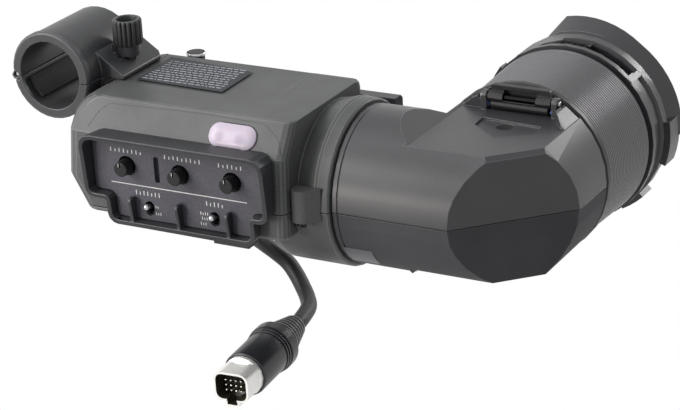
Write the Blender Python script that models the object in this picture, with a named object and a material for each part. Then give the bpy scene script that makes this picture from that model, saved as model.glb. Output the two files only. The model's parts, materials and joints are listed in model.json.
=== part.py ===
"""Electronic viewfinder of a shoulder camera: tube housing, swivelling mirror elbow, flip-up eyepiece.

The pieces are drawn in the optical frame: X runs along the picture tube, Y along the eyepiece, Z is up,
and the two optical axes cross at its origin. The part's own origin is the centre of the rail's rear face.
"""
import math
from collections import namedtuple

import bmesh
import bpy
from mathutils import Matrix, Vector

# Fits between pieces
GAP = 0.0003
OVER = 0.002
FAR = 0.4

# Fineness of round shapes
CORNER_STEPS = 3
MERGE = 0.000001
FINE = 32
ROUND = 16
SMALL = 12
TINY = 8
ARC_STEP = 6
CURVE_SAMPLES = 16
HEX_SIDES = 6
SHARP_ANGLE = 32

# Tube housing: a box with a leaning front, whose left shoulder is rounded
BOX_LEFT = -0.1601
BOX_RIGHT = -0.0627
BOX_BOTTOM = -0.01085
BOX_TOP = 0.0328
BOX_REAR = 0.02375
BOX_WALL = 0.0022
FOOT_FRONT = -0.04045
WAIST_FRONT = -0.0385
WAIST_HEIGHT = 0.02045
CREST_FRONT = -0.0304
FOOT_LEFT = -0.152
SHOULDER_LEFT = -0.15815
SLANT_TOP = 0.0024
SHOULDER = 0.00855
SHOULDER_STEPS = 5
REAR_ROUND = 0.0038
EDGE = 0.00085
CORNER_FRONT_LEFT = 0.00475
CORNER_FRONT_RIGHT = 0.0033
CORNER_REAR = 0.00285
PARTING_RIGHT = -0.00065
PARTING_LEFT = -0.0091
PARTING_STEP = -0.1026
TOP_RECESS = 0.00055
RECESS_LEFT = -0.1501
RECESS_RIGHT = -0.08295
RECESS_FRONT = -0.0129
RECESS_SLANT = 0.00475

# Drum at the housing's right end, in which the elbow turns
DRUM_ROOT = -0.06365
DRUM_ROOT_RADIUS = 0.0303
DRUM_RIDGE = -0.05455
DRUM_RIDGE_RADIUS = 0.0327
DRUM_BAND = -0.0536
DRUM_BAND_RADIUS = 0.0323
DRUM_LIP = -0.0497
DRUM_END = -0.0489
DRUM_END_RADIUS = 0.03165
DRUM_LOWER_LEFT = -0.08025
DRUM_LOWER_RADIUS = 0.0323
DRUM_LOWER_ROUND = 0.00665
DRUM_BORE = 0.0283
DRUM_STOP = -0.05415
DRUM_CAVITY_RIGHT = 0.03
DRUM_CAVITY_LEFT = 0.02795
DRUM_CAVITY_CORNER = 0.0228
DRUM_CAVITY_NECK = -0.0632
DRUM_CAVITY_STEP = -0.05795
DRUM_CAVITY_TURN = -0.0736
DRUM_CAVITY_END = -0.0779

# Latch block on the drum's front
LATCH_LEFT = -0.0624
LATCH_MID = -0.0566
LATCH_RIGHT = -0.0517
LATCH_FRONT = -0.0376
LATCH_BOTTOM = -0.0038
LATCH_TOP = 0.00885
LATCH_ROUND = 0.00285
LATCH_SCREW_X = (-0.0608, -0.05775)
LATCH_SCREW_RADIUS = 0.00105
LATCH_SCREW_Y = -0.03505
LATCH_SCREW_LENGTH = 0.0017

# Guard round the controls: inner outline of its lip as (x, z, radius)
GUARD_CORNERS = (
    (-0.14535, -0.00095, 0.0024),
    (-0.13625, -0.00095, 0.0019),
    (-0.13625, -0.01085, 0.0024),
    (-0.0744, -0.01085, 0.00285),
    (-0.0744, -0.00095, 0.0019),
    (-0.068, -0.00095, 0.0024),
    (-0.068, 0.02205, 0.0038),
    (-0.14535, 0.02205, 0.0038),
)
GUARD_WALL = 0.0017
GUARD_FLARE = 0.00115
GUARD_BACK = -0.0361
GUARD_LIP_BOTTOM = -0.0456
GUARD_LIP_TOP = -0.04845
LUG_LEFT = -0.09165
LUG_RIGHT = -0.076
LUG_BOTTOM = -0.01385
LUG_FRONT = -0.04505
LUG_REAR = -0.038
FIN_CENTRES = (-0.1272, -0.1064, -0.08455)
FIN_THICKNESS = 0.0014
FIN_TOP = -0.00075
FIN_FRONT = -0.04675
FIN_FOOT = -0.04505
FIN_ROUND = 0.0015

# Control panel and what stands in it
PANEL_FRONT = -0.0423
KNOB_CENTRES = ((-0.1294, 0.0109), (-0.10575, 0.01055), (-0.0831, 0.01085))
WELL_RADIUS = 0.0039
PANEL_SLOT_X = -0.1161
PANEL_SLOT_WIDTH = 0.0022
PANEL_SLOT_BOTTOM = 0.0057
PANEL_SLOT_TOP = 0.01615
PANEL_SLOT_DEPTH = 0.0019
TOGGLE_X = (-0.12065, -0.09185)
TOGGLE_Z = -0.0053
TOGGLE_SLOT_WIDTH = 0.004
TOGGLE_SLOT_HEIGHT = 0.0059
TOGGLE_SLOT_ROUND = 0.0019
WINDOW_LEFT = -0.1354
WINDOW_RIGHT = -0.07715
WINDOW_BOTTOM = 0.00475
WINDOW_TOP = 0.0167
SWITCH_WINDOW_LEFT = -0.1249
SWITCH_WINDOW_RIGHT = -0.0876
SWITCH_WINDOW_BOTTOM = -0.00835
SWITCH_WINDOW_TOP = -0.0023
WINDOW_ROUND = 0.00095

# Potentiometers and their knobs
POT_SIZE = 0.0091
POT_DEPTH = 0.00425
POT_CASE_RADIUS = 0.00435
POT_CASE_DEPTH = 0.00305
SHAFT_RADIUS = 0.00135
SHAFT_END = -0.03495
KNOB_FACE = -0.0471
KNOB_BACK = -0.04105
KNOB_RADIUS = 0.00295
KNOB_EDGE = 0.0003
KNOB_FLARE = 0.00025
NOTCH_ANGLE = 98
NOTCH_WIDTH = 0.00075
NOTCH_DEPTH = 0.00065
NOTCH_START = 0.00085

# Toggle switches
SWITCH_WIDTH = 0.0057
SWITCH_HEIGHT = 0.0053
SWITCH_DEPTH = 0.00665
SWITCH_POCKET_WIDTH = 0.0038
SWITCH_POCKET_HEIGHT = 0.00435
TOGGLE_PIVOT = -0.0382
TOGGLE_BALL = 0.0016
TOGGLE_WAIST = 0.0006
BALL_OPENING = 155
BALL_STEPS = 5
TOGGLE_TIP = 0.0013
TOGGLE_LENGTH = 0.0076
TOGGLE_TILT = 12
SWITCH_POCKET_BACK = -0.0359

# Tally lamp window on the leaning face: outline as (x, height up the face, radius)
LENS_CORNERS = (
    (-0.09595, 0.0019, 0.0046),
    (-0.0759, 0.0019, 0.0046),
    (-0.0759, 0.0112, 0.0046),
    (-0.09595, 0.0112, 0.0046),
)
LENS_FLANGE = 0.00115
LENS_FLANGE_DEPTH = 0.00115
LENS_RISE = 0.00065
LENS_CROWN = 0.0014
LENS_BEVEL = 0.0005
LENS_SHOULDER = 0.0014
LAMP_CENTRES = (-0.0908, -0.0813)
LAMP_HEIGHT = 0.00625
LAMP_POCKET = 0.00255
LAMP_POCKET_TOP = -0.00085
LAMP_RADIUS = 0.00225
LAMP_FOOT = -0.00805
LAMP_SHOULDER = -0.00325
LAMP_TOP = -0.0014
TALLY_BOARD_LEFT = -0.0988
TALLY_BOARD_RIGHT = -0.07315
TALLY_BOARD_BOTTOM = 0.0005
TALLY_BOARD_TOP = 0.0119
BOARD_THICKNESS = 0.0015

# Picture tube, its yoke, its socket and the circuit board
TUBE_FACE = -0.06195
TUBE_RADIUS = 0.019
TUBE_RIM = -0.06585
TUBE_CONE = -0.0684
TUBE_CONE_RADIUS = 0.0152
TUBE_NECK_START = -0.076
TUBE_NECK = 0.00645
TUBE_END = -0.13205
TUBE_EDGE = 0.00075
TUBE_RING_RIGHT = -0.06365
TUBE_RING_LEFT = -0.06555
YOKE_RIGHT = -0.06935
YOKE_RADIUS = 0.0176
YOKE_CLEAR = 0.00045
SOCKET_START = -0.1287
SOCKET_END = -0.1387
SOCKET_RADIUS = 0.0078
BOARD_LEFT = -0.1425
BOARD_RIGHT = -0.0798
BOARD_FRONT = -0.0209
BOARD_REAR = 0.01805
BOARD_TOP = 0.02415
POST_RADIUS = 0.0021
POST_INSET = 0.0038

# Slide rail on the housing's rear face, and its stop knob
RAIL_LEFT = -0.14725
RAIL_RIGHT = -0.0492
RAIL_BOTTOM = 0.009
RAIL_TOP = 0.02515
RAIL_REAR = 0.0304
RAIL_CHAMFER = 0.0014
RAIL_WAIST = 0.0264
RAIL_UNDERCUT = 0.0019
RAIL_MIDDLE = -0.09785
RAIL_SCREW_X = (-0.1216, -0.0836)
RAIL_SCREW_RADIUS = 0.00275
RAIL_SCREW_SEAT = 0.028
RAIL_SCREW_SHANK = 0.00135
HEX_RADIUS = 0.0014
HEX_DEPTH = 0.00135
STOP_X = -0.1406
STOP_Y = 0.02795
STOP_SHAFT = 0.00135
STOP_SHAFT_END = 0.01805
STOP_RING_RADIUS = 0.00325
STOP_CAP_BOTTOM = 0.02755
STOP_CAP_TOP = 0.0323
STOP_CAP_RADIUS = 0.00365
STOP_EDGE = 0.00055

# Microphone holder: a split tube along Y on the housing's left shoulder
HOLDER_X = -0.17585
HOLDER_Z = 0.0346
HOLDER_FRONT = -0.0228
HOLDER_REAR = 0.01425
HOLDER_RADIUS = 0.0178
HOLDER_BORE = 0.0138
HOLDER_EDGE = 0.00075
HOLDER_SPLIT = 0.03285
HOLDER_PIN_X = -0.19255
HOLDER_PIN_RADIUS = 0.00085
HOLDER_KNUCKLE = 0.0021
HOLDER_RELIEF = 0.00245
HOLDER_KNUCKLE_LENGTH = 0.00855
HOLDER_WEB = (0.0004, 0.0022)
HOLDER_WEB_HEIGHT = 0.0039
PLATE_FRONT = -0.01235
PLATE_REAR = 0.01615
PLATE_RIGHT = -0.1484
PLATE_EDGE_TOP = 0.0344
PLATE_CORNER = 0.0038
WEDGE_LEFT = -0.1691
WEDGE_TOP_X = -0.1638
WEDGE_TOP = 0.04485
SPOT_RADIUS = 0.00665
SPOT_LEVEL = 0.0382
SEAT_RIGHT = -0.1496
SEAT_LEVEL = 0.029
SEAT_BOSS_LEFT = -0.1573
SEAT_BOSS_RIGHT = -0.1444
SEAT_BOSS_BOTTOM = 0.02565
BLOCK_LEFT = -0.1672
BLOCK_RIGHT = -0.152
BLOCK_BOTTOM = 0.0223
PAD_ANGLES_BASE = (215, 325)
PAD_ANGLE_LID = 90
PAD_SPAN = 44
PAD_THICKNESS = 0.0014
PAD_FRONT = -0.019
PAD_REAR = 0.01045
SCREW_X = -0.1539
SCREW_Y = 0.00095
SCREW_SHANK = 0.0018
SCREW_SHANK_END = 0.02985
SCREW_HOLE_LID = 0.0022
SCREW_HOLE_BASE = 0.00265
SCREW_NECK = 0.00455
SCREW_HEAD_BOTTOM = 0.04295
SCREW_HEAD_TOP = 0.0531
SCREW_HEAD_RADIUS = 0.0059
SCREW_KNURL = 0.00035
SCREW_KNURLS = 18
SCREW_HOLLOW = 0.0041
SCREW_HOLLOW_DEPTH = 0.0057
HOLDER_RING = 0.0034
HOLDER_RING_STEP = 0.0004

# Elbow: a tube along X meets a wider tube along Y, cut by a face parallel to the mirror
ELBOW_RADIUS = 0.0304
ELBOW_START = -0.04825
ELBOW_RING = -0.04645
ELBOW_RING_GROOVE = -0.0459
ELBOW_GROOVE_DEPTH = 0.0005
ELBOW_X_END = 0.02335
ELBOW_WALL = 0.0022
EYE_SIDE_RADIUS = 0.03475
EYE_SIDE_FRONT = -0.01765
EYE_SIDE_REAR = 0.03095
CHAMFER_OFFSET = 0.0289
CHAMFER_BEVEL = 0.00305
CHAMFER_BEVEL_DROP = 0.0015
FLAT_TOP = 0.0247
FLAT_BOTTOM = -0.02405
FLAT_LEFT = -0.02225
FLAT_RISE_LEFT = -0.0323
FLAT_BOTTOM_LEFT = -0.0209
FLAT_BOTTOM_RISE_LEFT = -0.0266
SPIGOT_START = -0.05795
SPIGOT_RADIUS = 0.02795
SPIGOT_BORE = 0.02585
SWIVEL_RING_RIGHT = -0.05455
SWIVEL_RING_LEFT = -0.0566
SWIVEL_RING_RADIUS = 0.02965
COLLAR_RADIUS = 0.0338
COLLAR_START = 0.0285
COLLAR_END = 0.0307
SHOULDER_RING_RADIUS = 0.0345
SHOULDER_RING_START = 0.01615
SHOULDER_RING_END = 0.0304
SHOULDER_RING_CORNERS = (
    (0.0224, 0.0176),
    (0.01795, 0.0232),
    (0.01795, 0.0323),
    (0.0361, 0.0323),
    (0.0361, 0.0176),
)
POCKET_CORNERS = (
    (-0.0093, 0.0114, 0.00095),
    (0.0038, 0.00095, 0.00095),
    (0.0153, 0.0097, 0.00095),
    (0.0147, 0.0172, 0.00095),
    (-0.0097, 0.0192, 0.00095),
)
POCKET_DEPTH = 0.00085
DIMPLE_X = 0.0015
DIMPLE_Y = 0.01465
DIMPLE_RADIUS = 0.0033
DIMPLE_DEPTH = 0.0015
MIRROR_THICKNESS = 0.0019
MIRROR_INSET = 0.0014
CARRIER_THICKNESS = 0.0023

# Flip hinge between the elbow and the eyepiece
HINGE_X = 0.00135
HINGE_Y = 0.0289
HINGE_Z = 0.02965
HINGE_PIN_RADIUS = 0.00115
HINGE_PIN_HALF = 0.01615
EAR_INNER = 0.0133
EAR_OUTER = 0.0154
EAR_RADIUS = 0.0023
KNUCKLE_HALF = 0.0129
KNUCKLE_RADIUS = 0.0022
HINGE_RELIEF = 0.00515
HINGE_RELIEF_HALF = 0.01615
FRAME_HALF = 0.01215
FRAME_FRONT = 0.0287
FRAME_REAR = 0.03125
FRAME_TOP = 0.0344
FRAME_BOTTOM = 0.0262
FRAME_BAR_RADIUS = 0.0017
FRAME_BAR_Y = 0.0285
FRAME_BAR_Z = 0.0267
FRAME_WINDOW_HALF = 0.00665
FRAME_WINDOW_BOTTOM = 0.0289
FRAME_WINDOW_TOP = 0.0327
FRAME_WINDOW_BACK = 0.0304
FRAME_ROUND = 0.00095

# Eyepiece rings as distances along the eyepiece's axis
EYE_BORE = 0.0318
FLANGE_START = 0.03155
FLANGE_END = 0.03495
FLANGE_RADIUS = 0.03495
FLANGE_EDGE = 0.00075
GRIP_START = 0.03525
GRIP_END = 0.07155
GRIP_RADIUS = 0.03535
GRIP_FOOT_RADIUS = 0.034
GRIP_PLAIN = 0.00115
GRIP_GROOVES = 7
GRIP_GROOVE_DEPTH = 0.00065
HEAD_START = 0.0718
HEAD_NECK_RADIUS = 0.0338
HEAD_NECK_END = 0.0739
HEAD_RIDGE_RADIUS = 0.0363
HEAD_RIDGE_END = 0.07645
HEAD_SLOT_RADIUS = 0.03535
HEAD_CHANNEL = 0.0836
HEAD_BAND_START = 0.08415
HEAD_BAND_RADIUS = 0.0365
HEAD_BAND_END = 0.08835
HEAD_LIP_RADIUS = 0.0346
HEAD_END = 0.0912
HEAD_EDGE = 0.0005
SLOT_START = 0.0774
SLOT_END = 0.08265
SLOT_ANGLES = (46.5, 136)
BROW_ANGLES = (-4, 55, 106, 113.5)
BROW_ENDS = (0.09595, 0.09595, 0.1007, 0.0915)
BROW_OUTERS = (0.0394, 0.0394, 0.04045, 0.03665)
BROW_WALL = 0.0019
RIB_ANGLES = (41.5, 45.5)
RIB_RADIUS = 0.0364
LUG_RIGHT_ANGLES = (-20, 8)
LUG_LOW_ANGLES = (-62, -46)
LUG_LEFT_ANGLES = (144, 158)
LUG_OUTER = 0.03855
LUG_START = 0.0859
LUG_END = 0.09555
LUG_LEFT_START = 0.07885
LUG_LEFT_END = 0.08455
LUG_LEFT_RADIUS = 0.038

# Focus ring, lens cell and lenses
FOCUS_RADIUS = 0.0315
FOCUS_BORE = 0.0303
FOCUS_START = 0.0741
FOCUS_END = 0.0855
FOCUS_TAB_ANGLES = (77, 97)
FOCUS_TAB_START = 0.0779
FOCUS_TAB_END = 0.0822
FOCUS_TAB_RADIUS = 0.0365
FOCUS_TAB_RIBS = 5
FOCUS_TAB_RIB = 0.0005
CELL_RADIUS = 0.02995
CELL_BORE = 0.0262
CELL_LEDGE = 0.02375
CELL_START = 0.057
CELL_END = 0.0817
LENS_RADIUS = 0.0259
LENS_RIM_START = 0.0722
LENS_RIM_END = 0.07505
LENS_BULGE = 0.00325
LENS_STEPS = 3
FRONT_LENS_RIM_START = 0.0608
FRONT_LENS_RIM_END = 0.0632
FRONT_LENS_BULGE = 0.0023
RETAINER_LENGTH = 0.0023
EYE_RING_RADIUS = 0.0315
EYE_RING_BORE = 0.0287
EYE_RING_START = 0.0859
EYE_RING_END = 0.09025

# Cable, its gland and its plug
CABLE_RADIUS = 0.0033
CABLE_ROUTE = (
    (-0.1098, 0.0, -0.02035),
    (-0.1124, 0.00845, -0.02945),
    (-0.1142, 0.01795, -0.03875),
    (-0.11315, 0.0247, -0.0453),
    (-0.10955, 0.0284, -0.05045),
    (-0.10505, 0.02965, -0.0547),
    (-0.1006, 0.0283, -0.0588),
    (-0.09605, 0.0251, -0.06215),
    (-0.0914, 0.0205, -0.0644),
    (-0.0872, 0.0136, -0.0649),
)
CABLE_LEAD = 0.0042
CABLE_SPACING = 0.00435
CABLE_BEVEL = 3
GLAND_FLANGE = 0.00665
GLAND_FLANGE_DEPTH = 0.0019
GLAND_NECK = 0.00495
GLAND_END = 0.0042
PLUG_TAIL = (-0.0837, -0.00285, -0.0646)
PLUG_MOUTH = (-0.07935, -0.0594, -0.0651)
BOOT_END = 0.01615
BOOT_TAIL_RADIUS = 0.0041
BOOT_RADIUS = 0.00815
BOOT_RIBS = 5
BOOT_RIB_DEPTH = 0.00075
PLUG_BODY_START = 0.01645
PLUG_BODY_END = 0.0452
PLUG_RING_RADIUS = 0.0099
PLUG_FRONT_RADIUS = 0.00895
PLUG_SHOULDER = 0.00285
PLUG_SHOULDER_DROP = 0.0017
PLUG_RING_END = 0.02335
PLUG_GROOVES = 2
PLUG_GROOVE_WIDTH = 0.00065
PLUG_GROOVE_DEPTH = 0.00055
PLUG_BODY_EDGE = 0.00075
PLUG_SHELL_START = 0.0455
PLUG_SHELL_RADIUS = 0.00805
PLUG_MOUTH_START = 0.0479
PLUG_MOUTH_END = 0.057
PLUG_MOUTH_HALF = 0.0072
PLUG_MOUTH_LOW = -0.0056
PLUG_MOUTH_HIGH = 0.00635
PLUG_MOUTH_ROUND = 0.0034
PLUG_MOUTH_WALL = 0.00085
PLUG_CAVITY_START = 0.04675
PLUG_INSERT_END = 0.0496
PLUG_KEY_WIDTH = 0.0042
PLUG_KEY_DEPTH = 0.0015
PIN_ROWS = 3
PIN_COLUMNS = 4
PIN_PITCH = 0.0021
PIN_RADIUS = 0.00045
PIN_END = 0.0551
PIN_PLATE = 0.00055

# Material looks: sRGB colour, roughness, metallic
LOOKS = {
    "moulded housing": ("#4b4c4f", 0.55, 0.0),
    "elbow moulding": ("#48484b", 0.5, 0.0),
    "guard moulding": ("#2f3032", 0.6, 0.0),
    "panel": ("#45464b", 0.5, 0.0),
    "black plastic": ("#17181a", 0.45, 0.0),
    "rubber": ("#141415", 0.8, 0.0),
    "lamp window": ("#e4dde6", 0.25, 0.0),
    "lamp glass": ("#f0e6e0", 0.1, 0.0),
    "circuit board": ("#2d5a3c", 0.6, 0.0),
    "tube glass": ("#6f7a78", 0.15, 0.0),
    "copper winding": ("#9a5a32", 0.4, 1.0),
    "eye glass": ("#3a4650", 0.05, 0.0),
    "mirror": ("#c9ccd0", 0.05, 1.0),
    "steel": ("#b9babc", 0.3, 1.0),
    "anodised rail": ("#3c3d40", 0.4, 1.0),
    "plug shell": ("#d9d9d6", 0.35, 0.6),
    "brass": ("#b08d4a", 0.35, 1.0),
}

# What carries pieces: an empty, and the point of its joint's axis where it stands
Body = namedtuple("Body", "empty pivot")

AXES = {"x": Vector((1, 0, 0)), "y": Vector((0, -1, 0)), "z": Vector((0, 0, 1))}
FULL_TURN = math.tau
FACE_TILT = math.atan2(BOX_TOP - WAIST_HEIGHT, CREST_FRONT - WAIST_FRONT)
ORIGIN = Vector((RAIL_MIDDLE, RAIL_REAR, (RAIL_TOP + RAIL_BOTTOM) / 2))


def clear_scene():
    for obj in list(bpy.data.objects):
        bpy.data.objects.remove(obj, do_unlink=True)


def linear(hexcode):
    """Linear RGBA of an sRGB hex colour."""
    shares = [int(hexcode[i : i + 2], 16) / 255 for i in (1, 3, 5)]
    return [s / 12.92 if s <= 0.04045 else ((s + 0.055) / 1.055) ** 2.4 for s in shares] + [1.0]


def material(look):
    """The Principled material of a look, made the first time it is asked for."""
    found = bpy.data.materials.get(look)
    if found:
        return found
    colour, roughness, metallic = LOOKS[look]
    made = bpy.data.materials.new(look)
    made.use_nodes = True
    shader = made.node_tree.nodes["Principled BSDF"]
    shader.inputs["Base Color"].default_value = linear(colour)
    shader.inputs["Roughness"].default_value = roughness
    shader.inputs["Metallic"].default_value = metallic
    made.diffuse_color = linear(colour)
    return made


def lay(axis, u, v, along):
    """Point from the two coordinates across an axis and the one along it."""
    return {"x": (along, u, v), "y": (u, along, v), "z": (u, v, along)}[axis]


def polar(angle, radius, centre=(0.0, 0.0)):
    """Point of a plane at an angle in degrees, from +u towards +v."""
    turn = math.radians(angle)
    return centre[0] + radius * math.cos(turn), centre[1] + radius * math.sin(turn)


def anticlockwise(corners):
    """Whether the outline's corners run anticlockwise."""
    pairs = zip(corners, corners[1:] + corners[:1])
    return sum(a[0] * b[1] - b[0] * a[1] for a, b in pairs) > 0


def offset(corners, distance):
    """(u, v, radius) corners with each side moved outwards, the rounding kept concentric."""
    corners = list(corners)
    side = 1 if anticlockwise(corners) else -1
    moved = []
    for i, (u, v, radius) in enumerate(corners):
        here = Vector((u, v))
        first = (here - Vector(corners[i - 1][:2])).normalized()
        second = (Vector(corners[(i + 1) % len(corners)][:2]) - here).normalized()
        normals = [Vector((d.y, -d.x)) * side for d in (first, second)]
        middle = (normals[0] + normals[1]).normalized()
        point = here + middle * distance / middle.dot(normals[0])
        convex = (first.x * second.y - first.y * second.x) * side > 0
        grown = radius + (distance if convex else -distance)
        moved.append((point.x, point.y, max(grown, 0.0)))
    return moved


def rounded(corners, steps=CORNER_STEPS):
    """Closed outline through (u, v, radius) corners, each rounding an arc of equal steps."""
    points = []
    for i, (u, v, radius) in enumerate(corners):
        here = Vector((u, v))
        if radius <= 0:
            points += [(u, v)] * (steps + 1)
            continue
        before = (Vector(corners[i - 1][:2]) - here).normalized()
        after = (Vector(corners[(i + 1) % len(corners)][:2]) - here).normalized()
        half = before.angle(after) / 2
        centre = here + (before + after).normalized() * radius / math.sin(half)
        start = here + before * radius / math.tan(half) - centre
        stop = here + after * radius / math.tan(half) - centre
        turn = math.atan2(start.x * stop.y - start.y * stop.x, start.dot(stop))
        for step in range(steps + 1):
            angle = turn * step / steps
            spoke = (
                start.x * math.cos(angle) - start.y * math.sin(angle),
                start.x * math.sin(angle) + start.y * math.cos(angle),
            )
            points.append((centre.x + spoke[0], centre.y + spoke[1]))
    return points


def rectangle(left, right, low, high, radius=0.0):
    """Corners of a rectangle as (u, v, radius)."""
    return [(left, low, radius), (right, low, radius), (right, high, radius), (left, high, radius)]


def circle(centre, radius, steps):
    """Closed outline of a circle."""
    return [polar(360 * i / steps, radius, centre) for i in range(steps)]


def finished(bm):
    """The mesh of a bmesh whose doubles are merged and whose faces point outwards."""
    bmesh.ops.remove_doubles(bm, verts=bm.verts, dist=MERGE)
    bmesh.ops.recalc_face_normals(bm, faces=bm.faces)
    mesh = bpy.data.meshes.new("solid")
    bm.to_mesh(mesh)
    bm.free()
    mesh.shade_smooth()
    mesh.set_sharp_from_angle(angle=math.radians(SHARP_ANGLE))
    return mesh


def loft(loops):
    """Solid skinned over loops of equal length, closed by a flat face at each end."""
    bm = bmesh.new()
    rings = [[bm.verts.new(point) for point in loop] for loop in loops]
    for lower, upper in zip(rings, rings[1:]):
        for i in range(len(lower)):
            bm.faces.new((lower[i - 1], lower[i], upper[i], upper[i - 1]))
    bm.faces.new(rings[0])
    bm.faces.new(rings[-1])
    return finished(bm)


def prism(outline, axis, low, high):
    """Outline of (u, v) points carried along an axis."""
    return loft([[lay(axis, u, v, along) for u, v in outline] for along in (low, high)])


def block(x_range, y_range, z_range, radius=0.0):
    """Box between three pairs of coordinates, its upright edges rounded."""
    return prism(rounded(rectangle(*x_range, *y_range, radius)), "z", *z_range)


def turned(profile, axis, centre=(0.0, 0.0), angles=None, steps=FINE):
    """Closed profile of (along, radius) points turned about an axis, right round or between two angles."""
    start, stop = [math.radians(a) for a in angles] if angles else (0.0, FULL_TURN)
    bm = bmesh.new()
    verts = []
    for along, radius in profile:
        u, v = polar(math.degrees(start), radius, centre)
        verts.append(bm.verts.new(lay(axis, u, v, along)))
    edges = []
    for i, (along, radius) in enumerate(profile):
        if radius > 0 or profile[i - 1][1] > 0:
            edges.append(bm.edges.new((verts[i - 1], verts[i])))
    bmesh.ops.spin(
        bm,
        geom=verts + edges,
        cent=lay(axis, *centre, 0.0),
        axis=AXES[axis],
        angle=stop - start,
        steps=steps,
        use_merge=angles is None,
    )
    if angles:
        bmesh.ops.holes_fill(bm, edges=bm.edges)
    return finished(bm)


def rod(axis, centre, radius, low, high, steps=SMALL):
    """Round bar along an axis."""
    return turned([(low, 0.0), (low, radius), (high, radius), (high, 0.0)], axis, centre, steps=steps)


def tube(axis, centre, outer, inner, low, high, steps=FINE):
    """Round tube along an axis."""
    return turned([(low, inner), (low, outer), (high, outer), (high, inner)], axis, centre, steps=steps)


def moved(mesh, matrix):
    """The mesh after a change of place."""
    mesh.transform(matrix)
    return mesh


def new_body(name, pivot, parent=None):
    """Empty on a joint's axis, which carries all that moves about it."""
    empty = bpy.data.objects.new(name, None)
    bpy.context.scene.collection.objects.link(empty)
    pivot = Vector(pivot)
    if parent:
        empty.parent = parent.empty
        empty.location = pivot - parent.pivot
    return Body(empty, pivot)


def put(name, mesh, body):
    """Object of a mesh drawn in the optical frame, with its origin at its body's pivot."""
    mesh.transform(Matrix.Translation(-body.pivot))
    obj = bpy.data.objects.new(name, mesh)
    obj.parent = body.empty
    bpy.context.scene.collection.objects.link(obj)
    return obj


def piece(name, mesh, look, body):
    """Sub-part of the viewfinder, with its material."""
    mesh.name = name
    mesh.materials.append(material(look))
    return put(name, mesh, body)


def helper(shape, body):
    """Object that only cuts or joins, left out of a render."""
    if isinstance(shape, bpy.types.Object):
        return shape
    obj = put("helper", shape, body)
    obj.hide_render = True
    obj.display_type = "WIRE"
    return obj


def combine(obj, operation, helpers):
    for other in helpers:
        modifier = obj.modifiers.new(operation.lower(), "BOOLEAN")
        modifier.operation = operation
        modifier.object = other
        modifier.solver = "EXACT"


def cut(obj, body, *shapes):
    combine(obj, "DIFFERENCE", [helper(shape, body) for shape in shapes])


def join(obj, body, *shapes):
    combine(obj, "UNION", [helper(shape, body) for shape in shapes])


def keep(obj, body, *shapes):
    combine(obj, "INTERSECT", [helper(shape, body) for shape in shapes])


def between(value, low, high, at_low, at_high):
    """Straight-line value between two ends."""
    return at_low + (at_high - at_low) * (value - low) / (high - low)


def front_edge(z):
    """Y of the housing's front face at a height: almost upright, then leaning back above the waist."""
    if z < WAIST_HEIGHT:
        return between(z, BOX_BOTTOM, WAIST_HEIGHT, FOOT_FRONT, WAIST_FRONT)
    return between(z, WAIST_HEIGHT, BOX_TOP, WAIST_FRONT, CREST_FRONT)


def shoulder(z, radius):
    """How far an edge of that radius along the top draws in at a height."""
    rise = max(z - (BOX_TOP - radius), 0.0)
    return radius - math.sqrt(max(radius**2 - rise**2, 0.0))


def left_edge(z):
    """X of the housing's left face at a height: slanted at the foot, rounded at the shoulder."""
    if z < SLANT_TOP:
        return between(z, BOX_BOTTOM, SLANT_TOP, FOOT_LEFT, BOX_LEFT)
    return between(z, SLANT_TOP, BOX_TOP, BOX_LEFT, SHOULDER_LEFT) + shoulder(z, SHOULDER)


def box_heights():
    """Heights at which the housing's outline is drawn, closer together round the shoulder."""
    arc = [math.radians(90 * i / SHOULDER_STEPS) for i in range(SHOULDER_STEPS + 1)]
    foot = [BOX_BOTTOM, BOX_BOTTOM + EDGE, SLANT_TOP, WAIST_HEIGHT]
    return foot + [BOX_TOP - SHOULDER * (1 - math.sin(a)) for a in arc]


def box_solid(inset):
    """Housing box drawn in by an inset on every side, or grown where the inset is negative."""
    heights = box_heights()
    loops = []
    for z in heights:
        draw = inset + (EDGE / 2 if z in (heights[0], heights[-1]) else 0.0)
        level = between(z, BOX_BOTTOM, BOX_TOP, BOX_BOTTOM + inset, BOX_TOP - inset)
        left, front = left_edge(z) + draw, front_edge(z) + draw
        right, rear = BOX_RIGHT - draw, BOX_REAR - shoulder(z, REAR_ROUND) - draw
        corners = [
            (left, front, max(CORNER_FRONT_LEFT - inset, EDGE)),
            (right, front, max(CORNER_FRONT_RIGHT - inset, EDGE)),
            (right, rear, max(CORNER_REAR - inset, EDGE)),
            (left, rear, max(CORNER_REAR - inset, EDGE)),
        ]
        loops.append([(x, y, level) for x, y in rounded(corners)])
    return loft(loops)


def drum_solid(upper, grow=0.0):
    """Upper half's cone or lower half's rounded drum, as a solid turned about the tube's axis."""
    end = [
        (DRUM_LIP, DRUM_BAND_RADIUS + grow),
        (DRUM_END, DRUM_END_RADIUS + grow),
        (DRUM_END, 0.0),
    ]
    if upper:
        start = [
            (DRUM_ROOT, 0.0),
            (DRUM_ROOT, DRUM_ROOT_RADIUS + grow),
            (DRUM_RIDGE, DRUM_RIDGE_RADIUS + grow),
            (DRUM_BAND, DRUM_BAND_RADIUS + grow),
        ]
    else:
        centre = (DRUM_LOWER_LEFT + DRUM_LOWER_ROUND, DRUM_LOWER_RADIUS - DRUM_LOWER_ROUND)
        angles = [180 - 90 * i / CORNER_STEPS for i in range(CORNER_STEPS + 1)]
        arc = [polar(angle, DRUM_LOWER_ROUND + grow, centre) for angle in angles]
        start = [(arc[0][0], 0.0)] + arc
    return turned(start + end, "x")


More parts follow.
